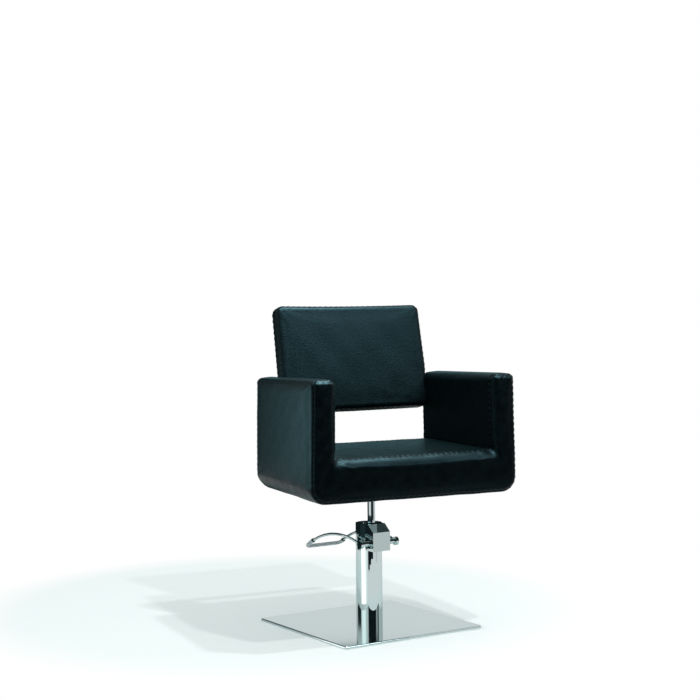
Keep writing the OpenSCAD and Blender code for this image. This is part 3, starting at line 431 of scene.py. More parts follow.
def makeUnderCloth(f):
    # birch plywood whose underside carries a grey non-woven dust cloth: dull and fibrous;
    # at the low rear corners the black hem is turned round the boards and stapled
    mat, tree = newMaterial("plywood under dust cloth")
    coords = addNode(tree, "ShaderNodeTexCoord")
    fibre = addNode(tree, "ShaderNodeTexNoise", None,
                    {"Vector": (coords, "Object"), "Scale": perMetre(f["fibreMm"]), "Detail": 4.0,
                     "Roughness": 0.7})
    tone = addNode(tree, "ShaderNodeValToRGB", None, {"Fac": (fibre, "Fac")})
    rampStops(tone, [(0.3, f["dark"]), (0.7, f["light"])])
    wood = birchGrain(tree, coords, f, 0.0)[1]
    facing = addNode(tree, "ShaderNodeNewGeometry")
    parts = addNode(tree, "ShaderNodeSeparateXYZ", None, {0: (facing, "Normal")})
    under = addNode(tree, "ShaderNodeMath", {"operation": "LESS_THAN"}, {0: (parts, "Z"), 1: -0.9})
    place = addNode(tree, "ShaderNodeSeparateXYZ", None, {0: (coords, "Object")})
    rear = addNode(tree, "ShaderNodeMath", {"operation": "GREATER_THAN"},
                   {0: (place, "Y"), 1: f["hemFromY"] * mm})
    low = addNode(tree, "ShaderNodeMath", {"operation": "LESS_THAN"},
                  {0: (place, "Z"), 1: f["hemBelowZ"] * mm})
    hem = addNode(tree, "ShaderNodeMath", {"operation": "MULTIPLY"}, {0: (rear, 0), 1: (low, 0)})
    bare = addNode(tree, "ShaderNodeMix", {"data_type": "RGBA"},
                   {0: (under, 0), 6: (wood, "Color"), 7: (tone, "Color")})
    both = addNode(tree, "ShaderNodeMix", {"data_type": "RGBA"},
                   {0: (hem, 0), 6: (bare, 2), 7: toLinear(f["hemColour"])})
    bump = addNode(tree, "ShaderNodeBump", None,
                   {"Height": (fibre, "Fac"), "Strength": 0.4, "Distance": f["reliefMm"] * mm})
    skin = addNode(tree, "ShaderNodeBsdfPrincipled", None,
                   {"Base Color": (both, 2), "Roughness": f["roughness"], "Normal": (bump, 0),
                    "Specular IOR Level": f["gloss"]})
    return surfaced(mat, skin)


def makeBronze(f):  # turned bearing bronze, satin
    mat, tree = newMaterial("turned bearing bronze")
    coords = addNode(tree, "ShaderNodeTexCoord")
    marks = addNode(tree, "ShaderNodeTexNoise", None,
                    {"Vector": (coords, "Object"), "Scale": perMetre(f["markMm"]), "Detail": 3.0})
    rough = addNode(tree, "ShaderNodeMapRange", None,
                    {"Value": (marks, "Fac"), "To Min": f["smoothest"], "To Max": f["roughest"]})
    skin = addNode(tree, "ShaderNodeBsdfPrincipled", None,
                   {"Base Color": toLinear(f["colour"]), "Metallic": 1.0, "Roughness": (rough, 0)})
    return surfaced(mat, skin)


leatherette = makeLeatherette(finishes["leather"])
thread = makeThread(finishes["thread"])
chrome = makeChrome(finishes["chrome"])
plateSteel = makePlateSteel(finishes["plate"])
machined = makeMachined(finishes["steel"])
sleeveVinyl = makeSleeve(finishes["sleeve"])
rubber = makeRubber(finishes["rubber"])
plywood = makePlywood(finishes["plywood"])
underCloth = makeUnderCloth(finishes["dustCloth"])
bronze = makeBronze(finishes["bronze"])

nodeFinish = {  # every CAD node and its material
    "floor_mat": rubber, "base_plate": machined, "base_cover": plateSteel, "foot_bolts": machined,
    "pump_foot": machined, "column_tube": chrome, "pump_cylinder": machined, "pump_head": chrome,
    "linkage_housing": chrome, "filler_plug": machined, "rod_bush": bronze, "rod_wiper": rubber,
    "shaft_bushes": chrome, "return_spring": machined, "piston": machined, "piston_seal": rubber,
    "piston_rod": chrome, "rod_retainer": machined, "pedal_shaft": chrome, "pedal_hubs": chrome,
    "hub_screws": machined, "pedal_cam": machined, "pedal_loop": chrome, "pedal_grip": sleeveVinyl,
    "grip_collars": chrome, "pump_plunger": machined, "seat_socket": machined, "socket_bolts": machined,
    "bottom_board": underCloth, "side_board_left": underCloth, "side_board_right": underCloth,
    "frame_screws": machined, "shell_upholstery": leatherette, "back_upholstery": leatherette,
    "back_board": plywood, "back_studs": machined, "back_spacers": chrome,
}
for name, mat in nodeFinish.items():
    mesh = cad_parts[name].data
    mesh.materials.clear()
    mesh.materials.append(mat)
print("finishes assigned:", len(nodeFinish), "nodes")


# mesh work that the cushions and stitches share
clothForm = {"quality": 5, "mass": 0.3}  # solver steps a frame, and kilograms a point


def gridNormals(p, wrap):  # cross product of the differences along the two parameters, made one unit long
    du = np.gradient(p, axis=0)
    dv = (np.roll(p, -1, 1) - np.roll(p, 1, 1)) if wrap else np.gradient(p, axis=1)
    n = np.cross(du, dv)
    return n / np.maximum(np.linalg.norm(n, axis=2, keepdims=True), 1e-9)


def gridFaces(rows, cols, wrap):  # one quad between each four neighbours of a grid of points
    i, j = np.meshgrid(np.arange(rows - 1), np.arange(cols if wrap else cols - 1), indexing="ij")
    k = (j + 1) % cols
    return np.stack([i * cols + j, (i + 1) * cols + j, (i + 1) * cols + k, i * cols + k], -1).reshape(-1, 4)


def joinedFaces(grids, wraps):  # quads of several grids whose points are numbered one grid after another
    faces, start = [], 0
    for g, wrap in zip(grids, wraps):
        faces.append(gridFaces(g.shape[0], g.shape[1], wrap) + start)
        start += g.shape[0] * g.shape[1]
    return np.concatenate(faces).tolist()


def lengthAlong(p):  # the way walked down each column of a grid of points, from its first row
    steps = np.linalg.norm(np.diff(p, axis=0), axis=2)
    return np.concatenate([np.zeros((1, p.shape[1])), np.cumsum(steps, 0)])


def ridge(gap, height, middle, width):  # height times e to minus the square of gap less middle over width
    return height * np.exp(-((gap - middle) / width) ** 2)


def markSeams(obj, values):  # how near each point is to a seam, for the leatherette's gloss
    attr = obj.data.attributes.new("seamNear", "FLOAT", "POINT")
    attr.data.foreach_set("value", values.astype(np.float32))


def weldAndFace(obj, reach=0.01):  # merges doubles, drops empty faces and turns all faces outwards
    bm = bmesh.new()
    bm.from_mesh(obj.data)
    bmesh.ops.remove_doubles(bm, verts=bm.verts, dist=reach * mm)
    bmesh.ops.dissolve_degenerate(bm, edges=bm.edges, dist=reach * mm)
    bmesh.ops.recalc_face_normals(bm, faces=bm.faces)
    bm.to_mesh(obj.data)
    bm.free()


def refine(obj):  # one Catmull-Clark subdivision, kept as the finished mesh
    mod = obj.modifiers.new("smooth", "SUBSURF")
    mod.levels = mod.render_levels = 1
    deps = bpy.context.evaluated_depsgraph_get()
    made = bpy.data.meshes.new_from_object(obj.evaluated_get(deps))
    obj.modifiers.clear()
    old, obj.data = obj.data, made
    bpy.data.meshes.remove(old)
    made.name = obj.name


def simulateSwell(grids, pins, wraps, f):
    # cloth with inner pressure, held at its seams, run for a few frames; gives each point's move in mm,
    # no longer than the cap: its length becomes the cap times the hyperbolic tangent of length by cap
    points = np.concatenate([g.reshape(-1, 3) for g in grids])
    trial = newPiece("swellTrial", points, joinedFaces(grids, wraps), leatherette)
    weldAndFace(trial)
    count = len(trial.data.vertices)
    before = np.empty(count * 3, np.float32)
    trial.data.vertices.foreach_get("co", before)
    before = before.reshape(-1, 3)
    tree = KDTree(count)
    for i, q in enumerate(before):
        tree.insert(q, i)
    tree.balance()
    match = np.array([tree.find(Vector(q * mm))[1] for q in points])
    fixed = np.unique(match[np.concatenate([k.ravel() for k in pins])])
    trial.vertex_groups.new(name="held").add(fixed.tolist(), 1.0, "REPLACE")
    cloth = trial.modifiers.new("cloth", "CLOTH")
    cloth.settings.quality = clothForm["quality"]
    cloth.settings.mass = clothForm["mass"]
    cloth.settings.use_pressure = True
    cloth.settings.uniform_pressure_force = f["pressure"]
    cloth.settings.effector_weights.gravity = 0
    cloth.settings.vertex_group_mass = "held"
    cloth.point_cache.frame_start = 1
    cloth.point_cache.frame_end = f["frames"]
    for step in range(1, f["frames"] + 1):
        bpy.context.scene.frame_set(step)
    shaped = trial.evaluated_get(bpy.context.evaluated_depsgraph_get()).data
    after = np.empty(count * 3, np.float32)
    shaped.vertices.foreach_get("co", after)
    move = (after.reshape(-1, 3) - before) / mm
    length = np.linalg.norm(move, axis=1, keepdims=True)
    move *= f["cap"] * np.tanh(length / f["cap"]) / np.maximum(length, 1e-6)
    print("cloth moved the surface by up to", round(float(length.max()), 2), "mm, capped at", f["cap"])
    mesh = trial.data
    bpy.data.objects.remove(trial)
    bpy.data.meshes.remove(mesh)
    bpy.context.scene.frame_set(1)
    ends = np.cumsum([g.shape[0] * g.shape[1] for g in grids])[:-1]
    return [part.reshape(g.shape) for part, g in zip(np.split(move[match], ends), grids)]


# the shell: two box arms and a thick seat in one
shellForm = {  # millimetres; heights above the underside unless said
    "halfWidth": 309.0, "front": -288.0, "rear": 131.0, "underside": 402.0, "armHeight": 325.0,
    "seatThick": 115.0, "armThick": 71.0, "lean": 0.018, "cornerRadius": 43.0, "insideRadius": 7.0,
    "edgeRadius": 21.0, "leastRadius": 4.2, "rearInnerRadius": 8.0, "topRadius": 17.0, "topRise": 2.2,
    "seatCrown": 3.0, "armCrown": 1.5,
    # grid: steps round the U and across its thickness, then places along the depth and round an edge
    "flatSteps": 64, "cornerSteps": 10, "sideSteps": 56, "topSteps": 6, "capSteps": 7, "thickSteps": 9,
    "frontMarks": (0, 1.2, 2.6, 4.2, 6.5, 10, 16), "middleMark": 25, "rearMarks": (7, 4.2, 2.6, 1.2, 0),
    "depthSteps": 30, "edgeTurns": (0, 3.3, 8, 15, 24, 33, 39, 42, 45, 48, 51, 57, 66, 75, 82, 86.7, 90),
    # how it stands askew: arms fall to the rear, seat rises, a lower corner is softer, an arm turns in
    "offsetX": 4.4, "tilt": 0.0045, "topFront": 2.0, "topDrop": 9.5, "fallFrom": 600.0, "fallOver": 125.0,
    "seatRise": 4.5, "riseFades": 186.0, "cornerSoft": 5.0, "softReach": 30.0, "arcMiddle": 0.293,
    "rightTurnIn": 8.5, "turnInAbove": 20.0, "frontLow": 2.3, "lowBelow": 30.0,
    # seams: groove, then ridges as height, middle and width, and the pucker that each stitch pulls
    "grooveDepth": 1.9, "grooveWidth": 1.9, "puff": (0.9, 6.5, 3.6), "pucker": 1.3,
    "puckerPlace": (3.4, 2.6), "puckerPitch": 16.5, "rearPucker": 0.3, "seamHold": 3.0, "seamGloss": 9.0,
    "endFade": 4.0, "endHold": 0.6,
    # dents beside the seat's front corners, measured from the corner of the arm, the front and the seat
    "dentAt": (-4.0, 6.0, 3.0), "dentShift": (1.0, 0.0, 1.1), "dent": (-3.2, 0.0, 15.0),
    "dentRim": (0.8, 30.0, 10.0),
    # the bottom board's opening in the leatherette
    "openingX": 233.3, "openingY": (-234.0, 95.0), "openingPlay": 0.5, "openingDepth": 3.0,
    "turnUnder": 7.6,
    "swell": {"pressure": 4.0, "frames": 12, "cap": 1.6},
}


def shellStations(f):
    # right half of the U from its middle: outer x, z, inner x, z, inset, inner swell, outer swell
    half, rc, ri, st = f["halfWidth"], f["cornerRadius"], f["insideRadius"], f["seatThick"]
    innerX = half - f["armThick"] - f["lean"] * (st - rc)
    sideX = lambda z: half - f["lean"] * (z - rc)
    inX = lambda z: innerX - f["lean"] * (z - st - ri)
    q = np.linspace(0, 1, f["flatSteps"] + 1)[:-1]
    flat = np.stack([q * (half - rc), 0 * q, q * (innerX - ri), 0 * q + st, 0 * q,
                     f["seatCrown"] * (1 - q * q), 0 * q], 1)
    a = np.linspace(0, np.pi / 2, f["cornerSteps"] + 1)
    corner = np.stack([half - rc + rc * np.sin(a), rc * (1 - np.cos(a)),
                       innerX - ri + ri * np.sin(a), st + ri * (1 - np.cos(a)), 0 * a, 0 * a, 0 * a], 1)
    top = f["armHeight"] - f["topRadius"]
    q = np.linspace(0, 1, f["sideSteps"] + 1)[1:]
    zo, zi = rc + (top - rc) * q, st + ri + (top - st - ri) * q
    swell = f["armCrown"] * np.sin(np.pi * q)
    side = np.stack([sideX(zo), zo, inX(zi), zi, 0 * q, swell, swell], 1)
    a = np.linspace(0, np.pi / 2, f["topSteps"] + 1)[1:]
    z = f["armHeight"] - f["topRadius"] * (1 - np.sin(a))
    roll = np.stack([sideX(z), z, inX(z), z, f["topRadius"] * (1 - np.cos(a)), 0 * a, 0 * a], 1)
    k = np.linspace(0, 1, f["capSteps"] + 1)[1:]
    z = f["armHeight"] + f["topRise"] * np.sin(np.pi / 2 * k)
    e = f["topRadius"] + k * (f["armThick"] / 2 - f["topRadius"])
    level = f["armHeight"] + 0 * z
    cap = np.stack([sideX(level), z, inX(level), z, e, 0 * k, 0 * k], 1)
    right = np.concatenate([flat, corner, side, roll, cap])
    left = right[:0:-1].copy()
    left[:, [0, 2]] *= -1
    return np.concatenate([left, right])


def ringSamples(f):
    # one turn round the section: share across the thickness, share along the depth, and the corner's
    # cosine and sine; the depth is marked closely near its ends and where the opening lies
    flatDepth = f["rear"] - f["front"] - 2 * f["edgeRadius"]
    start = f["front"] + f["edgeRadius"]
    openFront, openRear = (y - start for y in f["openingY"])
    marks = np.concatenate([f["frontMarks"], np.linspace(f["middleMark"], openFront, 2),
                            np.linspace(openFront, openRear, f["depthSteps"] + 1)[1:],
                            flatDepth - np.array(f["rearMarks"])]) / flatDepth
    inner = marks[1:-1]
    across = np.linspace(0, 1, f["thickSteps"] + 1)[1:-1]
    turn = np.radians(f["edgeTurns"])  # closest where the seams lie, at 45 degrees
    one, zero = np.ones_like, np.zeros_like
    parts = [
        (0 * turn, 0 * turn, np.cos(turn + np.pi), np.sin(turn + np.pi)),
        (across, zero(across), zero(across), -one(across)),
        (0 * turn + 1, 0 * turn, np.cos(turn + 1.5 * np.pi), np.sin(turn + 1.5 * np.pi)),
        (one(inner), inner, one(inner), zero(inner)),
        (0 * turn + 1, 0 * turn + 1, np.cos(turn), np.sin(turn)),
        (across[::-1], one(across), zero(across), one(across)),
        (0 * turn, 0 * turn + 1, np.cos(turn + np.pi / 2), np.sin(turn + np.pi / 2)),
        (zero(inner), inner[::-1], -one(inner), zero(inner)),
    ]
    sizes = np.cumsum([0] + [len(p[0]) for p in parts])
    return [np.concatenate([p[i] for p in parts]) for i in range(4)], sizes


def shellSurface(f, s, ring, sizes):
    # surface of two parameters: u runs along the U from arm top to arm top, v round its section; a point is
    # the inner point plus the way to the outer point times its share, with the section's corners rounded
    kt, ky, ca, sa = ring
    outer, inner, inset = s[:, 0:2], s[:, 2:4], s[:, 4]
    thick = np.linalg.norm(outer - inner, axis=1)
    way = (outer - inner) / thick[:, None]
    inset = np.minimum(inset, thick / 2)
    r = np.minimum(np.maximum(f["edgeRadius"] - inset, f["leastRadius"]), thick / 2 - inset)
    t = (inset + r)[:, None] + kt * (thick - 2 * inset - 2 * r)[:, None] + r[:, None] * ca
    depth = f["rear"] - f["front"]
    y = (f["front"] + inset + r)[:, None] + ky * (depth - 2 * inset - 2 * r)[:, None] + r[:, None] * sa
    tight = slice(sizes[6], sizes[7])  # the inner rear edge is rounded less than the others
    small = np.minimum(r, f["rearInnerRadius"])
    t[:, tight] = (inset + small)[:, None] + small[:, None] * ca[None, tight]
    y[:, tight] = (f["rear"] - inset - small)[:, None] + small[:, None] * sa[None, tight]
    p = np.stack([inner[:, :1] + way[:, :1] * t, y, f["underside"] + inner[:, 1:] + way[:, 1:] * t], 2)
    # the arms fall a little to the rear, the seat rises to it, the lower left corner rounds off more there
    back = np.clip((y - f["front"]) / depth, 0, 1)
    high = np.clip((p[..., 2] - f["fallFrom"]) / f["fallOver"], 0, 1)
    p[..., 2] += high * (f["topFront"] - f["topDrop"] * back)
    share = t / thick[:, None]
    onInside, onOutside = np.clip(1 - share, 0, 1), np.clip(share, 0, 1)
    hold = 1 - np.clip((s[:, 3] - f["seatThick"] - f["insideRadius"]) / f["riseFades"], 0, 1)[:, None]
    p[..., 2] += f["seatRise"] * back ** 0.7 * onInside * hold
    bendX, bendZ = f["halfWidth"] - f["cornerRadius"] * f["arcMiddle"], f["cornerRadius"] * f["arcMiddle"]
    bend = np.exp(-((abs(s[:, 0]) - bendX) ** 2 + (s[:, 1] - bendZ) ** 2) / f["softReach"] ** 2)
    bend = bend * (s[:, 0] < 0)
    curl = bend[:, None] * back * onOutside * f["cornerSoft"]
    p[..., 0] -= way[:, :1] * curl
    p[..., 2] -= way[:, 1:] * curl
    # the right arm's inner side turns in to the rear, the underside sags in front, and the whole sits askew
    rightArm = (s[:, 2] > 0)[:, None] * (s[:, 1] > f["turnInAbove"])[:, None]
    p[..., 0] -= f["rightTurnIn"] * back * onInside * rightArm
    p[..., 2] -= f["frontLow"] * (1 - back) * onOutside * (s[:, 1] < f["lowBelow"])[:, None]
    middleZ = f["underside"] + f["armHeight"]
    return np.stack([p[..., 0] + f["offsetX"] + f["tilt"] * (middleZ - p[..., 2]), p[..., 1],
                     p[..., 2] + f["tilt"] * p[..., 0]], 2)


def outwardNormals(p, middle):  # normals turned so that the one in the middle of the underside points down
    n = gridNormals(p, True)
    return -n if n[middle][2] > 0 else n


def seamDistances(p, sizes, f):
    # measured along the grid's lines: each point's way to the nearer of the front and rear seams, its place
    # along that seam, and the strength of the seam's puckers
    total, turns = p.shape[:2]
    lu = lengthAlong(p)
    step = np.linalg.norm(np.roll(p, -1, 1) - p, axis=2)
    lv = np.concatenate([np.zeros((total, 1)), np.cumsum(step, 1)[:, :-1]], 1)
    around = step.sum(1, keepdims=True)
    rows, cols = np.arange(total), np.arange(turns)
    uA = f["capSteps"] + f["topSteps"] // 2
    uB = total - 1 - uA
    du = np.minimum(abs(lu - lu[uA]), abs(lu - lu[uB]))
    insideU = ((rows >= uA) & (rows <= uB))[:, None]
    seamTurn = len(f["edgeTurns"]) // 2
    near, along, force = (np.full(p.shape[:2], value) for value in (np.inf, 0.0, 1.0))
    seams = []
    frontSeam = (0, sizes[2] + seamTurn, 1.0)
    rearSeam = (sizes[4] + seamTurn, sizes[7] - 1, f["rearPucker"])
    for lo, hi, strength in (frontSeam, rearSeam):
        offLo, offHi = abs(lv - lv[:, lo:lo + 1]), abs(lv - lv[:, hi:hi + 1])
        dv = np.minimum(np.minimum(offLo, around - offLo), np.minimum(offHi, around - offHi))
        insideV = ((cols >= lo) & (cols <= hi))[None]
        outside = np.where(insideU, dv, np.where(insideV, du, np.hypot(du, dv)))
        d = np.where(insideV & insideU, np.minimum(du, dv), outside)
        along = np.where(d < near, np.where((du < dv) | ~insideU, lv, lu), along)
        force = np.where(d < near, strength, force)
        near = np.minimum(near, d)
        seams.append((uA, uB, lo, hi))
    return near, along, force, seams


def seamPath(p, uA, uB, lo, hi):  # the points of one seam, once round
    uRun, vRun = np.arange(uA, uB + 1), np.arange(lo, hi + 1)
    there, back = (np.stack([uRun, 0 * uRun + v], 1) for v in (hi, lo))
    far, first = (np.stack([0 * vRun + u, vRun], 1) for u in (uB, uA))
    path = np.concatenate([there, far[-2:0:-1], back[::-1], first[1:-1]])
    return p[path[:, 0], path[:, 1]]


def makeShell(f):
    # the surface, crowned along its normals, swollen as cloth, then moved along its normals by the groove,
    # puff and puckers of the seams, the leatherette's slow waves and the dents
    s = shellStations(f)
    ring, sizes = ringSamples(f)
    ky, ca = ring[1], ring[2]
    p = shellSurface(f, s, ring, sizes)
    middle = (len(s) // 2, (sizes[3] + sizes[4]) // 2)
    n = outwardNormals(p, middle)
    onOuter, onFlat = ca > 0.99, np.abs(ca) > 0.99
    crown = np.where(onOuter, s[:, 6][:, None], s[:, 5][:, None]) * onFlat * np.sin(np.pi * ky)
    p = p + n * crown[..., None]
    near, along, force, seams = seamDistances(p, sizes, f)
    total = len(s)
    rows = np.arange(total)
    ends = np.clip((np.minimum(rows, total - 1 - rows) - f["capSteps"]) / f["endFade"], 0, 1)[:, None]
    below = onOuter[None] & (s[:, 1] < 1)[:, None]
    held = (near < f["seamHold"]) | (ends < f["endHold"]) | below
    p = p + simulateSwell([p], [held], [True], f["swell"])[0]
    n = outwardNormals(p, middle)
    groove = ridge(near, -f["grooveDepth"], 0.0, f["grooveWidth"])
    beat = np.cos(2 * np.pi * along / f["puckerPitch"])
    pucker = ridge(near, f["pucker"] * force * beat, *f["puckerPlace"])
    p = p + n * (groove + (ridge(near, *f["puff"]) + pucker) * ends)[..., None]
    # slow unevenness of hand-pulled leatherette: three crossed sine waves, their heights under a millimetre
    px, py, pz = p[..., 0], p[..., 1], p[..., 2]
    slow = (0.35 * np.sin(px / 31 + 1.3) * np.sin(py / 37 + pz / 41)
            + 0.25 * np.sin(px / 17 - py / 23 + 0.7) * np.sin(pz / 19 + 2.1)
            + 0.15 * np.sin(py / 11 + pz / 13 + px / 12))
    p = p + n * (slow * ends)[..., None]
    # dents where the front band turns from the arms into the seat
    dent = np.zeros(p.shape[:2])
    cornerAt = np.array([f["halfWidth"] - f["armThick"], f["front"], f["underside"] + f["seatThick"]])
    shiftX, shiftY, shiftZ = f["dentShift"]
    for side in (-1, 1):
        spot = (cornerAt + f["dentAt"]) * [side, 1, 1]
        gap = np.linalg.norm(p - spot - [f["offsetX"] + shiftX, shiftY, side * shiftZ], axis=2)
        dent += ridge(gap, *f["dent"])
        dent += ridge(gap, *f["dentRim"])
    p = p + n * dent[..., None]
    obj = newPiece("shellCover", p.reshape(-1, 3), gridFaces(total, len(ca), True).tolist(), leatherette)
    markSeams(obj, ridge(near, 1.0, 0.0, f["seamGloss"]).ravel())
    weldAndFace(obj)
    openUnderside(obj, f)
    return obj, [seamPath(p, *seam) for seam in seams]


def openUnderside(obj, f):  # the leatherette stops on the bottom board: a hole with its edge turned up
    bm = bmesh.new()
    bm.from_mesh(obj.data)
    reachX, (ya, yb) = f["openingX"] - f["openingPlay"], f["openingY"]
    low = (f["underside"] + f["openingDepth"]) * mm
    centres = [(face, face.calc_center_median()) for face in bm.faces]
    gone = [face for face, c in centres if abs(c.x) < reachX * mm and ya * mm < c.y < yb * mm and c.z < low]
    bmesh.ops.delete(bm, geom=gone, context="FACES")
    rim = [e for e in bm.edges if e.is_boundary]
    made = bmesh.ops.extrude_edge_only(bm, edges=rim)["geom"]
    for v in made:
        if isinstance(v, bmesh.types.BMVert):
            v.co.z = (f["underside"] + f["turnUnder"]) * mm
    bm.to_mesh(obj.data)
    bm.free()


shellCover, shellSeams = makeShell(shellForm)
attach(shellCover, "chair")
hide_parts("shell_upholstery")
print("shell made:", len(shellCover.data.polygons), "faces")


# the back pad, between the arms
padForm = {  # millimetres, in the pad's own frame: x across, z up its slope, y from front to rear
    "width": 456.0, "offsetX": 3.0, "height": 309.0, "thick": 56.0, "lean": 12.0, "frontY": 85.0,
    "baseZ": 620.0, "cornerRadius": 22.0, "edgeRadius": 14.0,
    "acrossSteps": 48, "upSteps": 30, "cornerSteps": 6, "edgeSteps": 5, "thickSteps": 6,
    "faceInsets": (20, 18, 16),
    # crowns and their slow waves, then how the outline departs from an oblong, places up from its foot
    "crown": 2.0, "rearCrown": 1.0, "crownPower": 2.4, "rearWaves": 0.6, "drawIn": 0.2, "topDip": 2.6,
    "footRise": 3.0, "rightFlare": (1.6, 5.0), "rightFlareAt": (271.0, 148.0), "rightFoot": (112.0, 1.0),
    "leftIn": (2.8, 1.2), "leftInAt": (290.0, 168.0),
    # seams: groove, then a ridge as height, middle and width, and the pucker that each stitch pulls
    "grooveDepth": 1.5, "grooveWidth": 1.8, "puff": (0.45, 6.0, 3.5), "pucker": 1.2,
    "puckerPlace": (3.0, 3.5), "seamClear": 0.5, "seamHold": 1.5, "seamGloss": 8.0,
    "swell": {"pressure": 4.0, "frames": 12, "cap": 0.6},
}


def padOutline(f, inset):  # rounded oblong, anticlockwise, its corners as quarter turns
    a, b = f["width"] / 2 - inset, f["height"] / 2 - inset
    r = max(f["cornerRadius"] - inset, 0.0)
    turn = np.linspace(0, np.pi / 2, f["cornerSteps"] + 1)
    up = np.linspace(-1, 1, f["upSteps"] + 1)[1:-1]
    acr = np.linspace(-1, 1, f["acrossSteps"] + 1)[1:-1]
    arc = lambda cx, cz, b0: np.stack([cx + r * np.cos(b0 + turn), cz + r * np.sin(b0 + turn)], 1)
    return np.concatenate([
        arc(a - r, b - r, 0), np.stack([-acr * (a - r), 0 * acr + b], 1),
        arc(r - a, b - r, np.pi / 2), np.stack([0 * up - a, -up * (b - r)], 1),
        arc(r - a, r - b, np.pi), np.stack([acr * (a - r), 0 * acr - b], 1),
        arc(a - r, r - b, 1.5 * np.pi), np.stack([0 * up + a, up * (b - r)], 1)])


def padGrids(f):
    # rings round the pad from the front face over the edges to the rear face, and a grid for each face
    e, c, t = f["edgeRadius"], f["cornerRadius"], f["thick"]
    turn = np.linspace(0, np.pi / 2, f["edgeSteps"] + 1)
    faceIn = [c, *f["faceInsets"]]
    straight = np.linspace(e, t - e, f["thickSteps"] + 1)[1:-1]
    early, late = e * (1 - np.sin(turn)), e * (1 - np.cos(turn))
    insets = np.concatenate([faceIn, early, 0 * straight, late, faceIn[::-1]])
    depths = np.concatenate([[0] * len(faceIn), late, straight, t - early, [t] * len(faceIn)])
    lines = np.stack([padOutline(f, i) for i in insets])
    rings = np.concatenate([lines, np.broadcast_to(depths[:, None, None], (*lines.shape[:2], 1))], 2)
    gx, gz = np.meshgrid(np.linspace(-1, 1, f["acrossSteps"] + 1) * (f["width"] / 2 - c),
                         np.linspace(-1, 1, f["upSteps"] + 1) * (f["height"] / 2 - c))
    front = np.stack([gx, gz, 0 * gx], 2)
    return [rings, front, front + [0, 0, t]]


def padBend(q, f):
    # the oblong made the real pad's: faces crowned by one minus a power of the place, edges drawn in by the
    # square of it, and the sides flared or taken in along their height
    x, z, y = q[..., 0], q[..., 1], q[..., 2]
    e, t = f["edgeRadius"], f["thick"]
    sx, sz = 2 * x / f["width"], 2 * z / f["height"]
    rightward, leftward = np.clip(sx, 0, 1), np.clip(-sx, 0, 1)
    power = f["crownPower"]
    dome = np.clip(1 - abs(sx) ** power, 0, 1) * np.clip(1 - abs(sz) ** power, 0, 1)
    face = np.clip(1 - y / e, 0, 1)
    rear = np.clip(1 - (t - y) / e, 0, 1)
    slow = 0.5 * np.sin(x / 33 + 0.8) * np.sin(z / 29 + 0.3) + 0.3 * np.sin(x / 17 + z / 21 + 1.9)
    yy = (y - face * (f["crown"] * dome + slow * dome)
          + rear * (f["rearCrown"] * dome + f["rearWaves"] * slow * dome))
    xx = x - f["drawIn"] * sx * (1 - np.clip(sz * sz, 0, 1))
    zz = z - f["drawIn"] * sz * (1 - np.clip(sx * sx, 0, 1))
    zz -= f["topDip"] * np.clip(sz, 0, 1) ** 4 * (1 - np.clip(sx * sx, 0, 1))
    zz += f["footRise"] * np.clip(-sz, 0, 1) ** 4 * rightward
    up = z + f["height"] / 2
    level, span = f["rightFlareAt"]
    flare = f["rightFlare"][0] + f["rightFlare"][1] * np.clip((level - up) / span, 0, 1)
    footLevel, footIn = f["rightFoot"]
    flare = np.where(up < footLevel, flare - footIn, flare)
    xx += flare * rightward ** 3
    level, span = f["leftInAt"]
    xx += (f["leftIn"][0] - f["leftIn"][1] * np.clip((level - up) / span, 0, 1)) * leftward ** 3
    return np.stack([xx, yy, zz + f["height"] / 2], -1)


def makePad(f):  # the bent grids, swollen as cloth, with grooves and puckers at both seams, leaned back
    grids = [padBend(q, f) for q in padGrids(f)]
    frontSeam = len(f["faceInsets"]) + f["edgeSteps"]
    seamRows = (frontSeam, len(grids[0]) - 1 - frontSeam)
    wraps = [True, False, False]
    nearSeam = lambda lu: np.minimum(abs(lu - lu[seamRows[0]]), abs(lu - lu[seamRows[1]]))
    held = [np.zeros(q.shape[:2], bool) for q in grids]
    held[0] = nearSeam(lengthAlong(grids[0])) < f["seamHold"]
    grids = [q + move for q, move in zip(grids, simulateSwell(grids, held, wraps, f["swell"]))]
    p = grids[0]
    n = gridNormals(p, True)
    outward = p[..., [0, 2]] - [0, f["height"] / 2]
    mid = len(p) // 2
    if (n[mid][:, [0, 2]] * outward[mid]).sum() < 0:
        n = -n
    near = nearSeam(lengthAlong(p))
    beat = np.where(np.arange(p.shape[1]) % 2 == 0, 1.0, -1.0)[None]
    groove = ridge(near, -f["grooveDepth"], 0.0, f["grooveWidth"])
    pucker = ridge(near, f["pucker"] * beat, *f["puckerPlace"]) * (near > f["seamClear"])
    grids[0] = p + n * (groove + ridge(near, *f["puff"]) + pucker)[..., None]
    lean = math.radians(f["lean"])
    cl, sl = math.cos(lean), math.sin(lean)
    world = [np.stack([q[..., 0] + f["offsetX"], f["frontY"] + q[..., 1] * cl + q[..., 2] * sl,
                       f["baseZ"] + q[..., 2] * cl - q[..., 1] * sl], -1) for q in grids]
    points = np.concatenate([q.reshape(-1, 3) for q in world])
    obj = newPiece("backCover", points, joinedFaces(world, wraps), leatherette)
    plain = np.zeros(len(points) - near.size)
    markSeams(obj, np.concatenate([ridge(near, 1.0, 0.0, f["seamGloss"]).ravel(), plain]))
    weldAndFace(obj)
    refine(obj)
    return obj, [world[0][row] for row in seamRows]


backCover, padSeams = makePad(padForm)
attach(backCover, "chair")
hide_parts("back_upholstery")
print("back pad made:", len(backCover.data.polygons), "faces")


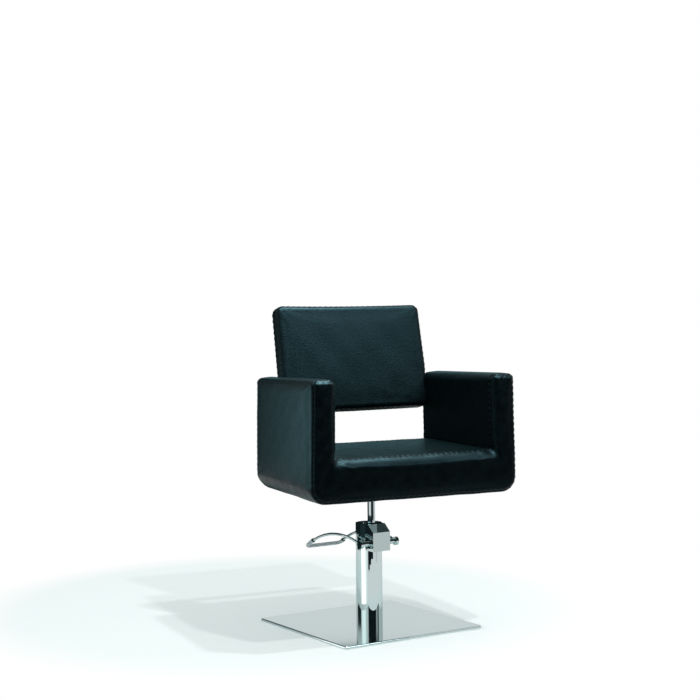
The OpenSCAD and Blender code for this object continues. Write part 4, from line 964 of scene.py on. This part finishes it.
# the sewn thread
stitchForm = {  # millimetres; a stitch is thinner at its ends and sunk a little into the seam
    "pitch": 16.5, "length": 10.5, "radius": 0.7, "endShare": 0.45, "rise": 0.7, "sunk": 0.15, "reach": 2.0,
    "sides": 6, "rings": 5, "weld": 0.0001,
}


def makeStitches(name, paths, cover, f):
    # a stitch is a short tube with its middle on the seam; its rings swell and rise by a sine along it
    tree = BVHTree.FromObject(cover, bpy.context.evaluated_depsgraph_get())
    spots, ahead = [], []
    for path in paths:
        loop = np.concatenate([path, path[:1]])
        run = np.concatenate([[0], np.cumsum(np.linalg.norm(np.diff(loop, axis=0), axis=1))])
        count = int(run[-1] // f["pitch"])
        at = (np.arange(count) + 0.5) * run[-1] / count
        place = lambda d: np.stack([np.interp(d % run[-1], run, loop[:, i]) for i in range(3)], 1)
        spots.append(place(at))
        way = place(at + f["reach"]) - place(at - f["reach"])
        ahead.append(way / np.linalg.norm(way, axis=1, keepdims=True))
    spots, ahead = np.concatenate(spots), np.concatenate(ahead)
    found = [tree.find_nearest(Vector(q * mm)) for q in spots]
    base = np.array([hit[0] for hit in found]) / mm
    up = np.array([hit[1] for hit in found])
    side = np.cross(ahead, up)
    side /= np.maximum(np.linalg.norm(side, axis=1, keepdims=True), 1e-9)
    q = np.linspace(0, 1, f["rings"])
    arch = np.sin(np.pi * q)
    turn = np.linspace(0, 2 * np.pi, f["sides"] + 1)[:-1]
    axis = (base[:, None] + ahead[:, None] * ((q - 0.5) * f["length"])[None, :, None]
            + up[:, None] * (f["rise"] * arch - f["sunk"])[None, :, None])
    rad = f["radius"] * (f["endShare"] + (1 - f["endShare"]) * arch)
    ring = (np.cos(turn)[None, None, :, None] * side[:, None, None]
            + np.sin(turn)[None, None, :, None] * up[:, None, None])
    points = axis[:, :, None] + ring * rad[None, :, None, None]
    total, rings, sides = len(base), f["rings"], f["sides"]
    start = np.arange(total)[:, None] * rings * sides
    faces = (gridFaces(rings, sides, True)[None] + start[:, :, None]).reshape(-1, 4).tolist()
    faces += (start + np.arange(sides)[None, ::-1]).tolist()
    faces += (start + (rings - 1) * sides + np.arange(sides)[None]).tolist()
    obj = newPiece(name, points.reshape(-1, 3), faces, thread)
    weldAndFace(obj, f["weld"])
    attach(obj, "chair")
    return obj, total


shellThread, shellCount = makeStitches("shellStitches", shellSeams, shellCover, stitchForm)
padThread, padCount = makeStitches("backStitches", padSeams, backCover, stitchForm)
print("stitches sewn:", shellCount + padCount)
